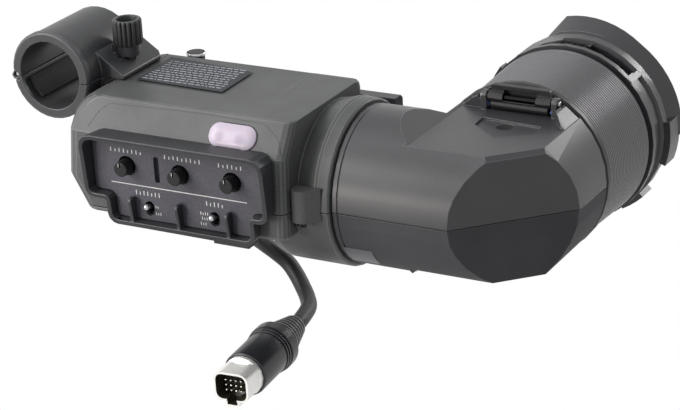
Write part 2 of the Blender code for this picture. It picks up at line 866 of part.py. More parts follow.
def drum_cavity():
    """Room inside the drum: the elbow's bore, then the chamber of its ring and of the picture tube."""
    profile = [
        (DRUM_CAVITY_END, 0.0),
        (DRUM_CAVITY_END, DRUM_CAVITY_CORNER),
        (DRUM_CAVITY_TURN, DRUM_CAVITY_LEFT),
        (DRUM_CAVITY_NECK, DRUM_CAVITY_LEFT),
        (DRUM_CAVITY_STEP, DRUM_CAVITY_RIGHT),
        (DRUM_STOP, DRUM_CAVITY_RIGHT),
        (DRUM_STOP, DRUM_BORE),
        (DRUM_END + OVER, DRUM_BORE),
        (DRUM_END + OVER, 0.0),
    ]
    return turned(profile, "x")


def half_space(side):
    """All that lies above (side 1) or below (side -1) the housing's stepped parting line."""
    shift = side * GAP / 2
    outline = [
        (-FAR, PARTING_LEFT + shift),
        (PARTING_STEP - shift, PARTING_LEFT + shift),
        (PARTING_STEP - shift, PARTING_RIGHT + shift),
        (FAR, PARTING_RIGHT + shift),
        (FAR, side * FAR),
        (-FAR, side * FAR),
    ]
    return prism(outline, "y", -FAR, FAR)


def face_place():
    """Matrix that lays (x, height up the face, height over it) on the leaning face."""
    return Matrix.Translation((0.0, WAIST_FRONT, WAIST_HEIGHT)) @ Matrix.Rotation(FACE_TILT, 4, "X")


def on_face(corners, low, high):
    """Prism of an outline square to the leaning face."""
    return moved(prism(rounded(corners), "z", low, high), face_place())


def window(left, right, low, high):
    """Opening through the front wall."""
    outline = rounded(rectangle(left, right, low, high, WINDOW_ROUND))
    return prism(outline, "y", FOOT_FRONT - OVER, CREST_FRONT)


def top_recess():
    """Shallow field sunk in the top, with its front right corner cut off."""
    corners = [
        (RECESS_LEFT, RECESS_FRONT, EDGE),
        (RECESS_RIGHT - RECESS_SLANT, RECESS_FRONT, EDGE),
        (RECESS_RIGHT, RECESS_FRONT + RECESS_SLANT, EDGE),
        (RECESS_RIGHT, BOX_REAR + OVER, 0.0),
        (RECESS_LEFT, BOX_REAR + OVER, 0.0),
    ]
    return prism(rounded(corners), "z", BOX_TOP - TOP_RECESS, BOX_TOP + OVER)


def board_posts():
    """Centres of the four posts that carry the circuit board."""
    xs = (BOARD_LEFT + POST_INSET, BOARD_RIGHT - POST_INSET)
    ys = (BOARD_FRONT + POST_INSET, BOARD_REAR - POST_INSET)
    return [(x, y) for x in xs for y in ys]


def seat_boss(frame):
    """Thickening under the holder's seat, inside the left shoulder."""
    sides = (PLATE_FRONT - BOX_WALL, PLATE_REAR + BOX_WALL)
    boss = helper(block((SEAT_BOSS_LEFT, SEAT_BOSS_RIGHT), sides, (SEAT_BOSS_BOTTOM, BOX_TOP)), frame)
    keep(boss, frame, box_solid(EDGE))
    return boss


def seat_notch():
    """Notch in the left shoulder that takes the holder base's tongue."""
    sides = (PLATE_FRONT + EDGE - GAP, PLATE_REAR - EDGE + GAP)
    return block((BLOCK_LEFT, SEAT_RIGHT), sides, (SEAT_LEVEL, BOX_TOP + OVER))


def make_housing(frame):
    """Upper and lower shells, hollow, parted along a stepped line."""
    for name, side in (("housing_upper", 1), ("housing_lower", -1)):
        shell = piece(name, box_solid(0.0), "moulded housing", frame)
        join(shell, frame, drum_solid(side > 0))
        keep(shell, frame, half_space(side))
        cut(shell, frame, box_solid(BOX_WALL), drum_cavity())
        sides = (SWITCH_WINDOW_LEFT, SWITCH_WINDOW_RIGHT)
        cut(shell, frame, window(*sides, SWITCH_WINDOW_BOTTOM, SWITCH_WINDOW_TOP))
        if side > 0:
            cut(shell, frame, window(WINDOW_LEFT, WINDOW_RIGHT, WINDOW_BOTTOM, WINDOW_TOP))
            cut(shell, frame, on_face(offset(LENS_CORNERS, GAP), -BOX_WALL - OVER, OVER), top_recess())
            join(shell, frame, seat_boss(frame))
            cut(shell, frame, seat_notch())
            reach = (BOARD_TOP + GAP, BOX_TOP - BOX_WALL / 2)
            posts = [rod("z", at, POST_RADIUS, *reach) for at in board_posts()]
            join(shell, frame, *posts)


def make_latch(frame):
    """Wedge-ended block on the drum's front, held by two small screws from below."""
    corners = [
        (LATCH_LEFT, LATCH_FRONT, LATCH_ROUND),
        (LATCH_MID, LATCH_FRONT, LATCH_ROUND),
        (LATCH_RIGHT, -DRUM_BAND_RADIUS, 0.0),
        (LATCH_RIGHT, 0.0, 0.0),
        (LATCH_LEFT, 0.0, 0.0),
    ]
    solid = prism(rounded(corners), "z", LATCH_BOTTOM, LATCH_TOP)
    latch = piece("latch_block", solid, "moulded housing", frame)
    cut(latch, frame, drum_solid(True, GAP), drum_solid(False, GAP), box_solid(-GAP))
    for number, x in enumerate(LATCH_SCREW_X, 1):
        top = LATCH_BOTTOM - GAP
        screw = rod("z", (x, LATCH_SCREW_Y), LATCH_SCREW_RADIUS, top - LATCH_SCREW_LENGTH, top, TINY)
        piece(f"latch_screw_{number}", screw, "steel", frame)


def guard_loop(spread, y=None):
    """Guard's inner outline moved out by a spread, at a depth, or on the slanting plane of its lip."""
    points = rounded(offset(GUARD_CORNERS, spread))
    if y is None:
        lip = [between(z, BOX_BOTTOM, WAIST_HEIGHT, GUARD_LIP_BOTTOM, GUARD_LIP_TOP) for _, z in points]
        return [(x, depth, z) for (x, z), depth in zip(points, lip)]
    flare = GUARD_FLARE * max(y - GUARD_LIP_TOP, 0.0) / (GUARD_BACK - GUARD_LIP_TOP)
    return [(x, y, z) for x, z in rounded(offset(GUARD_CORNERS, spread - flare))]


def make_guard(frame):
    """Flared frame round the controls, with three fins and a lug along its lower wall."""
    outer = loft([guard_loop(GUARD_WALL, GUARD_BACK), guard_loop(GUARD_WALL)])
    guard = piece("control_guard", outer, "guard moulding", frame)
    join(guard, frame, block((LUG_LEFT, LUG_RIGHT), (LUG_FRONT, LUG_REAR), (LUG_BOTTOM, BOX_BOTTOM), EDGE))
    inner = [guard_loop(0.0, y) for y in (GUARD_BACK + OVER, PANEL_FRONT, GUARD_LIP_TOP - OVER)]
    cut(guard, frame, loft(inner), box_solid(-GAP))
    cut(guard, frame, on_face(offset(LENS_CORNERS, GAP), -OVER, LENS_CROWN + GAP))
    fin = [
        (PANEL_FRONT - GAP, BOX_BOTTOM - GUARD_WALL / 2, 0.0),
        (PANEL_FRONT - GAP, FIN_TOP, EDGE),
        (FIN_FRONT, FIN_TOP, FIN_ROUND),
        (FIN_FOOT, BOX_BOTTOM - GUARD_WALL / 2, 0.0),
    ]
    for x in FIN_CENTRES:
        join(guard, frame, prism(rounded(fin), "x", x - FIN_THICKNESS / 2, x + FIN_THICKNESS / 2))


def make_panel(frame):
    """Wedge plate behind the guard: three wells, a bar recess and two toggle slots."""
    plate = loft([guard_loop(-GAP, GUARD_BACK), guard_loop(-GAP, PANEL_FRONT)])
    panel = piece("control_panel", plate, "panel", frame)
    cut(panel, frame, box_solid(-GAP))
    for centre in KNOB_CENTRES:
        cut(panel, frame, rod("y", centre, WELL_RADIUS, PANEL_FRONT - OVER, GUARD_BACK, ROUND))
    half = PANEL_SLOT_WIDTH / 2
    bar = rectangle(PANEL_SLOT_X - half, PANEL_SLOT_X + half, PANEL_SLOT_BOTTOM, PANEL_SLOT_TOP, EDGE)
    cut(panel, frame, prism(rounded(bar), "y", PANEL_FRONT - OVER, PANEL_FRONT + PANEL_SLOT_DEPTH))
    for x in TOGGLE_X:
        across, up = TOGGLE_SLOT_WIDTH / 2, TOGGLE_SLOT_HEIGHT / 2
        slot = rectangle(x - across, x + across, TOGGLE_Z - up, TOGGLE_Z + up, TOGGLE_SLOT_ROUND)
        cut(panel, frame, prism(rounded(slot), "y", PANEL_FRONT - OVER, GUARD_BACK))


def make_knobs(frame):
    """Three potentiometers behind the panel and the knobs that turn in its wells."""
    for number, (x, z) in enumerate(KNOB_CENTRES, 1):
        half = POT_SIZE / 2
        front = front_edge(z + half)
        square = rounded(rectangle(x - half, x + half, z - half, z + half, EDGE))
        case = prism(square, "y", front, front + POT_DEPTH)
        pot = piece(f"potentiometer_{number}", case, "black plastic", frame)
        case = rod("y", (x, z), POT_CASE_RADIUS, front + EDGE, front + POT_DEPTH + POT_CASE_DEPTH, ROUND)
        join(pot, frame, case)
        cut(pot, frame, rod("y", (x, z), SHAFT_RADIUS + GAP, front - OVER, SHAFT_END + GAP))
        body = new_body(f"knob_{number}_axis", (x, KNOB_FACE, z), frame)
        profile = [
            (KNOB_FACE, 0.0),
            (KNOB_FACE, KNOB_RADIUS - KNOB_EDGE),
            (KNOB_FACE + KNOB_EDGE, KNOB_RADIUS),
            (KNOB_BACK, KNOB_RADIUS + KNOB_FLARE),
            (KNOB_BACK, SHAFT_RADIUS),
            (SHAFT_END, SHAFT_RADIUS),
            (SHAFT_END, 0.0),
        ]
        knob = piece(f"knob_{number}", turned(profile, "y", (x, z), steps=ROUND), "black plastic", body)
        notch = rounded(rectangle(NOTCH_START, KNOB_RADIUS + OVER, -NOTCH_WIDTH / 2, NOTCH_WIDTH / 2))
        turn = Matrix.Translation((x, 0.0, z)) @ Matrix.Rotation(-math.radians(NOTCH_ANGLE), 4, "Y")
        slot = prism(notch, "y", KNOB_FACE - OVER, KNOB_FACE + NOTCH_DEPTH)
        cut(knob, body, moved(slot, turn))


def make_toggles(frame):
    """Two switch bodies and their ball-ended levers, both tilted up."""
    for name, x in zip(("display", "tally"), TOGGLE_X):
        across, up = SWITCH_WIDTH / 2, SWITCH_HEIGHT / 2
        front = front_edge(TOGGLE_Z + up)
        case = rounded(rectangle(x - across, x + across, TOGGLE_Z - up, TOGGLE_Z + up, EDGE))
        solid = prism(case, "y", front, front + SWITCH_DEPTH)
        switch = piece(f"{name}_switch", solid, "black plastic", frame)
        across, up = SWITCH_POCKET_WIDTH / 2, SWITCH_POCKET_HEIGHT / 2
        pocket = rounded(rectangle(x - across, x + across, TOGGLE_Z - up, TOGGLE_Z + up))
        cut(switch, frame, prism(pocket, "y", front - OVER, SWITCH_POCKET_BACK))
        body = new_body(f"{name}_lever_axis", (x, TOGGLE_PIVOT, TOGGLE_Z), frame)
        tip = TOGGLE_PIVOT - TOGGLE_LENGTH
        angles = [BALL_OPENING * i / BALL_STEPS for i in range(BALL_STEPS + 1)]
        ball = [polar(angle, TOGGLE_BALL, (TOGGLE_PIVOT, 0.0)) for angle in angles]
        neck = (TOGGLE_PIVOT - TOGGLE_BALL - EDGE, TOGGLE_WAIST)
        angles = [90 + 90 * i / CORNER_STEPS for i in range(CORNER_STEPS)]
        end = [polar(angle, TOGGLE_TIP, (tip + TOGGLE_TIP, 0.0)) for angle in angles]
        profile = [(ball[0][0], 0.0)] + ball[1:] + [neck] + end + [(tip, 0.0)]
        pivot = Vector((x, TOGGLE_PIVOT, TOGGLE_Z))
        tilt = Matrix.Rotation(-math.radians(TOGGLE_TILT), 4, "X")
        place = Matrix.Translation(pivot) @ tilt @ Matrix.Translation(-pivot)
        lever = moved(turned(profile, "y", (x, TOGGLE_Z), steps=SMALL), place)
        piece(f"{name}_lever", lever, "steel", body)


def make_tally_lamp(frame):
    """Window on the leaning face with a flange behind the wall, two lamps in it and their board."""
    inner = -BOX_WALL * (math.sin(FACE_TILT) + math.cos(FACE_TILT)) - GAP
    levels = [
        (LENS_FLANGE, inner - LENS_FLANGE_DEPTH),
        (LENS_FLANGE, inner),
        (0.0, inner),
        (0.0, LENS_RISE),
        (-LENS_BEVEL, LENS_RISE + LENS_BEVEL),
        (-LENS_SHOULDER, LENS_CROWN),
    ]
    loops = [[(x, y, w) for x, y in rounded(offset(LENS_CORNERS, spread))] for spread, w in levels]
    lens = piece("tally_window", moved(loft(loops), face_place()), "lamp window", frame)
    for name, x in zip(("left", "right"), LAMP_CENTRES):
        at = (x, LAMP_HEIGHT)
        pocket = rod("z", at, LAMP_POCKET, inner - LENS_FLANGE_DEPTH - OVER, LAMP_POCKET_TOP)
        cut(lens, frame, moved(pocket, face_place()))
        profile = [
            (LAMP_FOOT, 0.0),
            (LAMP_FOOT, LAMP_RADIUS),
            (LAMP_SHOULDER, LAMP_RADIUS),
            (LAMP_TOP - EDGE / 2, LAMP_RADIUS / 2),
            (LAMP_TOP, 0.0),
        ]
        lamp = turned(profile, "z", at, steps=SMALL)
        piece(f"tally_lamp_{name}", moved(lamp, face_place()), "lamp glass", frame)
    top = LAMP_FOOT - GAP
    edges = rectangle(TALLY_BOARD_LEFT, TALLY_BOARD_RIGHT, TALLY_BOARD_BOTTOM, TALLY_BOARD_TOP, EDGE)
    piece("tally_board", on_face(edges, top - BOARD_THICKNESS, top), "circuit board", frame)


def make_picture_tube(frame):
    """Picture tube with its mounting ring, yoke and socket, and the board above its neck."""
    profile = [
        (TUBE_FACE, 0.0),
        (TUBE_FACE - TUBE_EDGE / 2, TUBE_RADIUS - TUBE_EDGE),
        (TUBE_FACE - TUBE_EDGE, TUBE_RADIUS),
        (TUBE_RIM, TUBE_RADIUS),
        (TUBE_CONE, TUBE_CONE_RADIUS),
        (TUBE_NECK_START, TUBE_NECK),
        (TUBE_END, TUBE_NECK),
        (TUBE_END - TUBE_EDGE, 0.0),
    ]
    piece("picture_tube", turned(profile, "x", steps=ROUND), "tube glass", frame)
    radii = (DRUM_CAVITY_LEFT - GAP, TUBE_RADIUS + GAP)
    ring = tube("x", (0.0, 0.0), *radii, TUBE_RING_LEFT, TUBE_RING_RIGHT, ROUND)
    piece("tube_ring", ring, "black plastic", frame)
    wide = between(YOKE_RIGHT, TUBE_NECK_START, TUBE_CONE, TUBE_NECK, TUBE_CONE_RADIUS)
    yoke = [
        (TUBE_NECK_START, TUBE_NECK + YOKE_CLEAR),
        (YOKE_RIGHT, wide + YOKE_CLEAR),
        (YOKE_RIGHT, YOKE_RADIUS),
        (TUBE_NECK_START, YOKE_RADIUS),
    ]
    piece("deflection_yoke", turned(yoke, "x", steps=ROUND), "copper winding", frame)
    end = TUBE_END - TUBE_EDGE - GAP
    socket = [
        (SOCKET_END, 0.0),
        (SOCKET_END, SOCKET_RADIUS),
        (SOCKET_START, SOCKET_RADIUS),
        (SOCKET_START, TUBE_NECK + GAP),
        (end, TUBE_NECK + GAP),
        (end, 0.0),
    ]
    piece("tube_socket", turned(socket, "x", steps=ROUND), "black plastic", frame)
    heights = (BOARD_TOP - BOARD_THICKNESS, BOARD_TOP)
    board = block((BOARD_LEFT, BOARD_RIGHT), (BOARD_FRONT, BOARD_REAR), heights, EDGE)
    piece("main_board", board, "circuit board", frame)


def hexagon(centre, radius):
    return circle(centre, radius, HEX_SIDES)


def make_rail(frame):
    """Dovetail rail that slides into the camera's shoe, its two screws and its stop knob."""
    front = BOX_REAR + GAP
    section = [
        (front, RAIL_BOTTOM + RAIL_UNDERCUT),
        (RAIL_WAIST, RAIL_BOTTOM + RAIL_UNDERCUT),
        (RAIL_REAR - RAIL_CHAMFER, RAIL_BOTTOM),
        (RAIL_REAR, RAIL_BOTTOM + RAIL_CHAMFER),
        (RAIL_REAR, RAIL_TOP - RAIL_CHAMFER),
        (RAIL_REAR - RAIL_CHAMFER, RAIL_TOP),
        (front, RAIL_TOP),
    ]
    rail = piece("slide_rail", prism(section, "x", RAIL_LEFT, RAIL_RIGHT), "anodised rail", frame)
    stop_hole = rod("z", (STOP_X, STOP_Y), STOP_SHAFT + GAP, STOP_SHAFT_END - GAP, RAIL_TOP + OVER)
    cut(rail, frame, drum_solid(True, GAP), drum_solid(False, GAP), stop_hole)
    middle = (RAIL_BOTTOM + RAIL_TOP) / 2
    for number, x in enumerate(RAIL_SCREW_X, 1):
        at = (x, middle)
        bore = turned([
            (front - OVER, 0.0),
            (front - OVER, RAIL_SCREW_SHANK + GAP),
            (RAIL_SCREW_SEAT, RAIL_SCREW_SHANK + GAP),
            (RAIL_SCREW_SEAT, RAIL_SCREW_RADIUS + GAP),
            (RAIL_REAR + OVER, RAIL_SCREW_RADIUS + GAP),
            (RAIL_REAR + OVER, 0.0),
        ], "y", at, steps=SMALL)
        cut(rail, frame, bore)
        head = RAIL_REAR - EDGE / 2
        profile = [
            (front, 0.0),
            (front, RAIL_SCREW_SHANK),
            (RAIL_SCREW_SEAT + GAP, RAIL_SCREW_SHANK),
            (RAIL_SCREW_SEAT + GAP, RAIL_SCREW_RADIUS),
            (head, RAIL_SCREW_RADIUS),
            (head, 0.0),
        ]
        screw = piece(f"rail_screw_{number}", turned(profile, "y", at, steps=SMALL), "steel", frame)
        cut(screw, frame, prism(hexagon(at, HEX_RADIUS), "y", head - HEX_DEPTH, head + OVER))
    body = new_body("stop_knob_axis", (STOP_X, STOP_Y, RAIL_TOP), frame)
    profile = [
        (STOP_SHAFT_END, 0.0),
        (STOP_SHAFT_END, STOP_SHAFT),
        (RAIL_TOP + GAP, STOP_SHAFT),
        (RAIL_TOP + GAP, STOP_RING_RADIUS),
        (STOP_CAP_BOTTOM - EDGE, STOP_RING_RADIUS),
        (STOP_CAP_BOTTOM, STOP_CAP_RADIUS),
        (STOP_CAP_TOP - STOP_EDGE, STOP_CAP_RADIUS),
        (STOP_CAP_TOP, STOP_CAP_RADIUS - STOP_EDGE),
        (STOP_CAP_TOP, 0.0),
    ]
    piece("stop_knob", turned(profile, "z", (STOP_X, STOP_Y), steps=ROUND), "black plastic", body)


def holder_bar():
    """Holder's tube before it is bored and split, its edges bevelled."""
    profile = [
        (HOLDER_FRONT, 0.0),
        (HOLDER_FRONT, HOLDER_RADIUS - HOLDER_EDGE),
        (HOLDER_FRONT + HOLDER_EDGE, HOLDER_RADIUS),
        (HOLDER_FRONT + HOLDER_RING, HOLDER_RADIUS),
        (HOLDER_FRONT + HOLDER_RING, HOLDER_RADIUS - HOLDER_RING_STEP),
        (HOLDER_REAR - HOLDER_EDGE, HOLDER_RADIUS - HOLDER_RING_STEP),
        (HOLDER_REAR, HOLDER_RADIUS - HOLDER_EDGE - HOLDER_RING_STEP),
        (HOLDER_REAR, 0.0),
    ]
    return turned(profile, "y", (HOLDER_X, HOLDER_Z))


def holder_half(side):
    """All that lies above (side 1) or below (side -1) the holder's split."""
    level = HOLDER_SPLIT + side * GAP / 2
    low, high = sorted((level, side * FAR))
    return block((-FAR, FAR), (-FAR, FAR), (low, high))


def knuckle(side, start, stop):
    """Hinge knuckle that runs up (side 1) or down (side -1) into the wall of its half."""
    axis = (HOLDER_PIN_X, HOLDER_SPLIT)
    arc = [polar(side * (180 + 180 * i / SMALL), HOLDER_KNUCKLE, axis) for i in range(SMALL + 1)]
    top = HOLDER_SPLIT + side * HOLDER_WEB_HEIGHT
    web = [(HOLDER_PIN_X + HOLDER_WEB[1], top), (HOLDER_PIN_X + HOLDER_WEB[0], top)]
    return prism(arc + web, "y", start, stop)


def pad(angle, body, name):
    """Rubber pad lining a part of the holder's bore."""
    outer = HOLDER_BORE - GAP
    inner = outer - PAD_THICKNESS
    profile = [(PAD_FRONT, inner), (PAD_FRONT, outer), (PAD_REAR, outer), (PAD_REAR, inner)]
    span = (angle - PAD_SPAN / 2, angle + PAD_SPAN / 2)
    piece(name, turned(profile, "y", (HOLDER_X, HOLDER_Z), span, SMALL // 2), "rubber", body)


def bored(half, body, screw_hole):
    """Bore of the tube, the screw's hole and the hollow round the hinge, cut from a half."""
    axis = (HOLDER_PIN_X, HOLDER_SPLIT)
    bore = rod("y", (HOLDER_X, HOLDER_Z), HOLDER_BORE, HOLDER_FRONT - OVER, PLATE_REAR + OVER, FINE)
    hole = rod("z", (SCREW_X, SCREW_Y), screw_hole, SEAT_LEVEL - OVER, SCREW_HEAD_BOTTOM)
    relief = rod("y", axis, HOLDER_RELIEF, HOLDER_FRONT - OVER, HOLDER_REAR + OVER)
    cut(half, body, bore, hole, relief)


def make_holder(frame):
    """Microphone holder: base seated in the housing's shoulder, pin and pads, with its lid and screw."""
    axis = (HOLDER_PIN_X, HOLDER_SPLIT)
    third = HOLDER_KNUCKLE_LENGTH
    base = piece("holder_base", holder_bar(), "moulded housing", frame)
    foot = rectangle(BLOCK_LEFT, BLOCK_RIGHT, BLOCK_BOTTOM, HOLDER_SPLIT + OVER, EDGE)
    join(base, frame, prism(rounded(foot), "y", PLATE_FRONT, PLATE_REAR))
    cut(base, frame, box_solid(-GAP))
    tongue = rectangle(BLOCK_LEFT, SEAT_RIGHT - GAP, SEAT_LEVEL + GAP, HOLDER_SPLIT + OVER)
    join(base, frame, prism(rounded(tongue), "y", PLATE_FRONT + EDGE, PLATE_REAR - EDGE))
    keep(base, frame, holder_half(-1))
    bored(base, frame, SCREW_HOLE_BASE)
    join(base, frame, knuckle(-1, HOLDER_FRONT + third + GAP, HOLDER_REAR - third - GAP))
    pin_hole = rod("y", axis, HOLDER_PIN_RADIUS + GAP, HOLDER_FRONT - OVER, HOLDER_REAR + OVER)
    cut(base, frame, pin_hole)
    pin = rod("y", axis, HOLDER_PIN_RADIUS, HOLDER_FRONT + 2 * EDGE, HOLDER_REAR - 2 * EDGE, TINY)
    piece("holder_pin", pin, "steel", frame)
    for number, angle in enumerate(PAD_ANGLES_BASE, 1):
        pad(angle, frame, f"holder_pad_{number}")
    body = new_body("holder_lid_axis", (HOLDER_PIN_X, PLATE_FRONT, HOLDER_SPLIT), frame)
    make_lid(body)
    make_thumbscrew(body)


def lid_wedge(body):
    """Sloping wedge from the tube's side down to the plate's edge, with one corner rounded in plan."""
    section = [
        (WEDGE_LEFT, HOLDER_SPLIT),
        (PLATE_RIGHT, HOLDER_SPLIT),
        (PLATE_RIGHT, PLATE_EDGE_TOP),
        (WEDGE_TOP_X, WEDGE_TOP),
        (WEDGE_LEFT, WEDGE_TOP),
    ]
    wedge = helper(prism(section, "y", PLATE_FRONT, PLATE_REAR), body)
    plan = [
        (WEDGE_LEFT - OVER, PLATE_FRONT - OVER),
        (PLATE_RIGHT + OVER, PLATE_FRONT - OVER),
        (PLATE_RIGHT + OVER, PLATE_REAR - PLATE_CORNER),
        (PLATE_RIGHT - PLATE_CORNER, PLATE_REAR + OVER),
        (WEDGE_LEFT - OVER, PLATE_REAR + OVER),
    ]
    keep(wedge, body, prism(plan, "z", HOLDER_SPLIT - OVER, WEDGE_TOP + OVER))
    return wedge


def make_lid(body):
    """Upper half of the holder, its wedge and the flat-bottomed pocket for the screw."""
    axis = (HOLDER_PIN_X, HOLDER_SPLIT)
    lid = piece("holder_lid", holder_bar(), "moulded housing", body)
    join(lid, body, lid_wedge(body))
    keep(lid, body, holder_half(1))
    spot = rod("z", (SCREW_X, SCREW_Y), SPOT_RADIUS, SPOT_LEVEL, SCREW_HEAD_TOP, ROUND)
    cut(lid, body, spot)
    bored(lid, body, SCREW_HOLE_LID)
    join(lid, body, knuckle(1, HOLDER_FRONT + HOLDER_EDGE, HOLDER_FRONT + HOLDER_KNUCKLE_LENGTH))
    join(lid, body, knuckle(1, HOLDER_REAR - HOLDER_KNUCKLE_LENGTH, HOLDER_REAR - HOLDER_EDGE))
    pin_hole = rod("y", axis, HOLDER_PIN_RADIUS + GAP, HOLDER_FRONT - OVER, HOLDER_REAR + OVER)
    cut(lid, body, pin_hole)
    pad(PAD_ANGLE_LID, body, "holder_pad_3")


def knurled(centre, radius, depth, count):
    """Closed outline of a knurled edge: flats and shallow grooves by turns."""
    points = []
    for i in range(count):
        pitch = 360 / count
        points.append(polar(pitch * i, radius, centre))
        points.append(polar(pitch * (i + 1 / 2), radius, centre))
        points.append(polar(pitch * (i + 3 / 4), radius - depth, centre))
    return points


def make_thumbscrew(lid_body):
    """Tall knurled screw, hollow at the top, which pulls the lid onto the base."""
    at = (SCREW_X, SCREW_Y)
    body = new_body("thumbscrew_axis", (SCREW_X, SCREW_Y, SPOT_LEVEL), lid_body)
    profile = [
        (SCREW_SHANK_END, 0.0),
        (SCREW_SHANK_END, SCREW_SHANK),
        (SPOT_LEVEL + GAP, SCREW_SHANK),
        (SPOT_LEVEL + GAP, SCREW_NECK - EDGE),
        (SPOT_LEVEL + EDGE + GAP, SCREW_NECK),
        (SCREW_HEAD_BOTTOM + EDGE, SCREW_NECK),
        (SCREW_HEAD_BOTTOM + EDGE, 0.0),
    ]
    screw = piece("thumbscrew", turned(profile, "z", at, steps=ROUND), "black plastic", body)
    outline = knurled(at, SCREW_HEAD_RADIUS, SCREW_KNURL, SCREW_KNURLS)
    head = prism(outline, "z", SCREW_HEAD_BOTTOM, SCREW_HEAD_TOP)
    join(screw, body, head)
    hollow = rod("z", at, SCREW_HOLLOW, SCREW_HEAD_TOP - SCREW_HOLLOW_DEPTH, SCREW_HEAD_TOP + OVER, ROUND)
    cut(screw, body, hollow)


def mirror_side(inset):
    """All that lies on the optical side of the elbow's slanting face, its top edge bevelled."""
    face = CHAMFER_OFFSET - inset * math.sqrt(2)
    top = FLAT_TOP - inset
    loops = []
    for z, pull in ((-FAR, 0.0), (top - CHAMFER_BEVEL_DROP, 0.0), (top, CHAMFER_BEVEL), (FAR, FAR)):
        offset_here = face - pull
        loops.append([
            (offset_here - FAR, -FAR, z),
            (offset_here + FAR, FAR, z),
            (offset_here + FAR, FAR + FAR + FAR, z),
            (offset_here - FAR - FAR - FAR, -FAR, z),
        ])
    return loft(loops)


def flats(inset):
    """Room between the elbow's top and bottom flats, opening out to the round tube on the left."""
    upper, lower = [], []
    for line, flat, left, rise_left in (
        (upper, FLAT_TOP, FLAT_LEFT, FLAT_RISE_LEFT),
        (lower, -FLAT_BOTTOM, FLAT_BOTTOM_LEFT, FLAT_BOTTOM_RISE_LEFT),
    ):
        slope = (left - rise_left) / (ELBOW_RADIUS - flat)
        corner = left - inset * math.tan(math.atan2(1, slope) / 2)
        rise, wall = ELBOW_RADIUS + OVER, flat - inset
        line += [(-FAR, rise), (corner - slope * (rise - wall), rise), (corner, wall), (FAR, wall)]
    outline = upper + [(x, -z) for x, z in reversed(lower)]
    return prism(outline, "y", -FAR, FAR)


def elbow_wall():
    """Profile of the outer tube along X: spigot, ring with its groove, then the plain tube."""
    groove = ELBOW_RADIUS - ELBOW_GROOVE_DEPTH
    return [
        (SPIGOT_START, 0.0),
        (SPIGOT_START, SPIGOT_RADIUS),
        (ELBOW_START, SPIGOT_RADIUS),
        (ELBOW_START, ELBOW_RADIUS),
        (ELBOW_RING, ELBOW_RADIUS),
        (ELBOW_RING, groove),
        (ELBOW_RING_GROOVE, groove),
        (ELBOW_RING_GROOVE, ELBOW_RADIUS),
        (ELBOW_X_END, ELBOW_RADIUS),
        (ELBOW_X_END, 0.0),
    ]


def elbow_hollow(inset):
    """Inside of the elbow drawn in by an inset, open at both tubes."""
    along = ELBOW_RADIUS - inset
    profile = [
        (SPIGOT_START - OVER, 0.0),
        (SPIGOT_START - OVER, SPIGOT_BORE),
        (ELBOW_START + OVER, SPIGOT_BORE),
        (ELBOW_START + OVER, along),
        (ELBOW_X_END - inset, along),
        (ELBOW_X_END - inset, 0.0),
    ]
    return turned(profile, "x")


def elbow_room(body, inset, rear):
    """Inside of the elbow, drawn in from its outside by an inset, as a helper object."""
    room = helper(elbow_hollow(inset), body)
    wide = rod("y", (0.0, 0.0), EYE_SIDE_RADIUS - inset, EYE_SIDE_FRONT + inset, rear, FINE)
    join(room, body, wide)
    keep(room, body, mirror_side(inset), flats(inset))
    return room


def diagonal(near, far, half_length):
    """Upright slab parallel to the slanting face, between two distances from the mirror's plane."""
    turn = Matrix.Rotation(math.radians(45), 4, "Z")
    return moved(block((-half_length, half_length), (-far, -near), (-FAR, FAR)), turn)


def make_elbow(body):
    """Two shells of the elbow, with the mirror on its carrier inside and the swivel ring on the spigot."""
    for name, side in (("elbow_upper", 1), ("elbow_lower", -1)):
        shell = piece(name, turned(elbow_wall(), "x"), "elbow moulding", body)
        join(shell, body, rod("y", (0.0, 0.0), EYE_SIDE_RADIUS, EYE_SIDE_FRONT, EYE_SIDE_REAR, FINE))
        level = PARTING_RIGHT + side * GAP / 2
        low, high = sorted((level, side * FAR))
        keep(shell, body, mirror_side(0.0), flats(0.0), block((-FAR, FAR), (-FAR, FAR), (low, high)))
        cut(shell, body, elbow_room(body, ELBOW_WALL, EYE_SIDE_REAR + OVER))
        flat = FLAT_TOP - ELBOW_WALL / 2 if side > 0 else FLAT_BOTTOM + ELBOW_WALL / 2
        collar = helper(rod("y", (0.0, 0.0), COLLAR_RADIUS, COLLAR_START, COLLAR_END, FINE), body)
        keep(collar, body, block((-FAR, FAR), (-FAR, FAR), tuple(sorted((flat, side * FAR)))))
        join(shell, body, collar)
        if side > 0:
            shape_elbow_top(shell, body)
    ring = tube("x", (0.0, 0.0), SWIVEL_RING_RADIUS, SPIGOT_RADIUS + GAP, SWIVEL_RING_LEFT, SWIVEL_RING_RIGHT)
    piece("swivel_ring", ring, "steel", body)
    glass_half = EYE_SIDE_RADIUS * math.sqrt(2)
    mirror = piece("mirror", diagonal(0.0, MIRROR_THICKNESS, glass_half - MIRROR_INSET), "mirror", body)
    keep(mirror, body, elbow_room(body, ELBOW_WALL + MIRROR_INSET, EYE_SIDE_REAR))
    near = MIRROR_THICKNESS + GAP
    plate = diagonal(near, near + CARRIER_THICKNESS, glass_half)
    carrier = piece("mirror_carrier", plate, "black plastic", body)
    keep(carrier, body, elbow_room(body, ELBOW_WALL + GAP, EYE_SIDE_REAR))


def hinge_rod(radius, half, steps=SMALL):
    """Round bar on the hinge's axis, as long on one side of its middle as on the other."""
    return rod("x", (HINGE_Y, HINGE_Z), radius, HINGE_X - half, HINGE_X + half, steps)


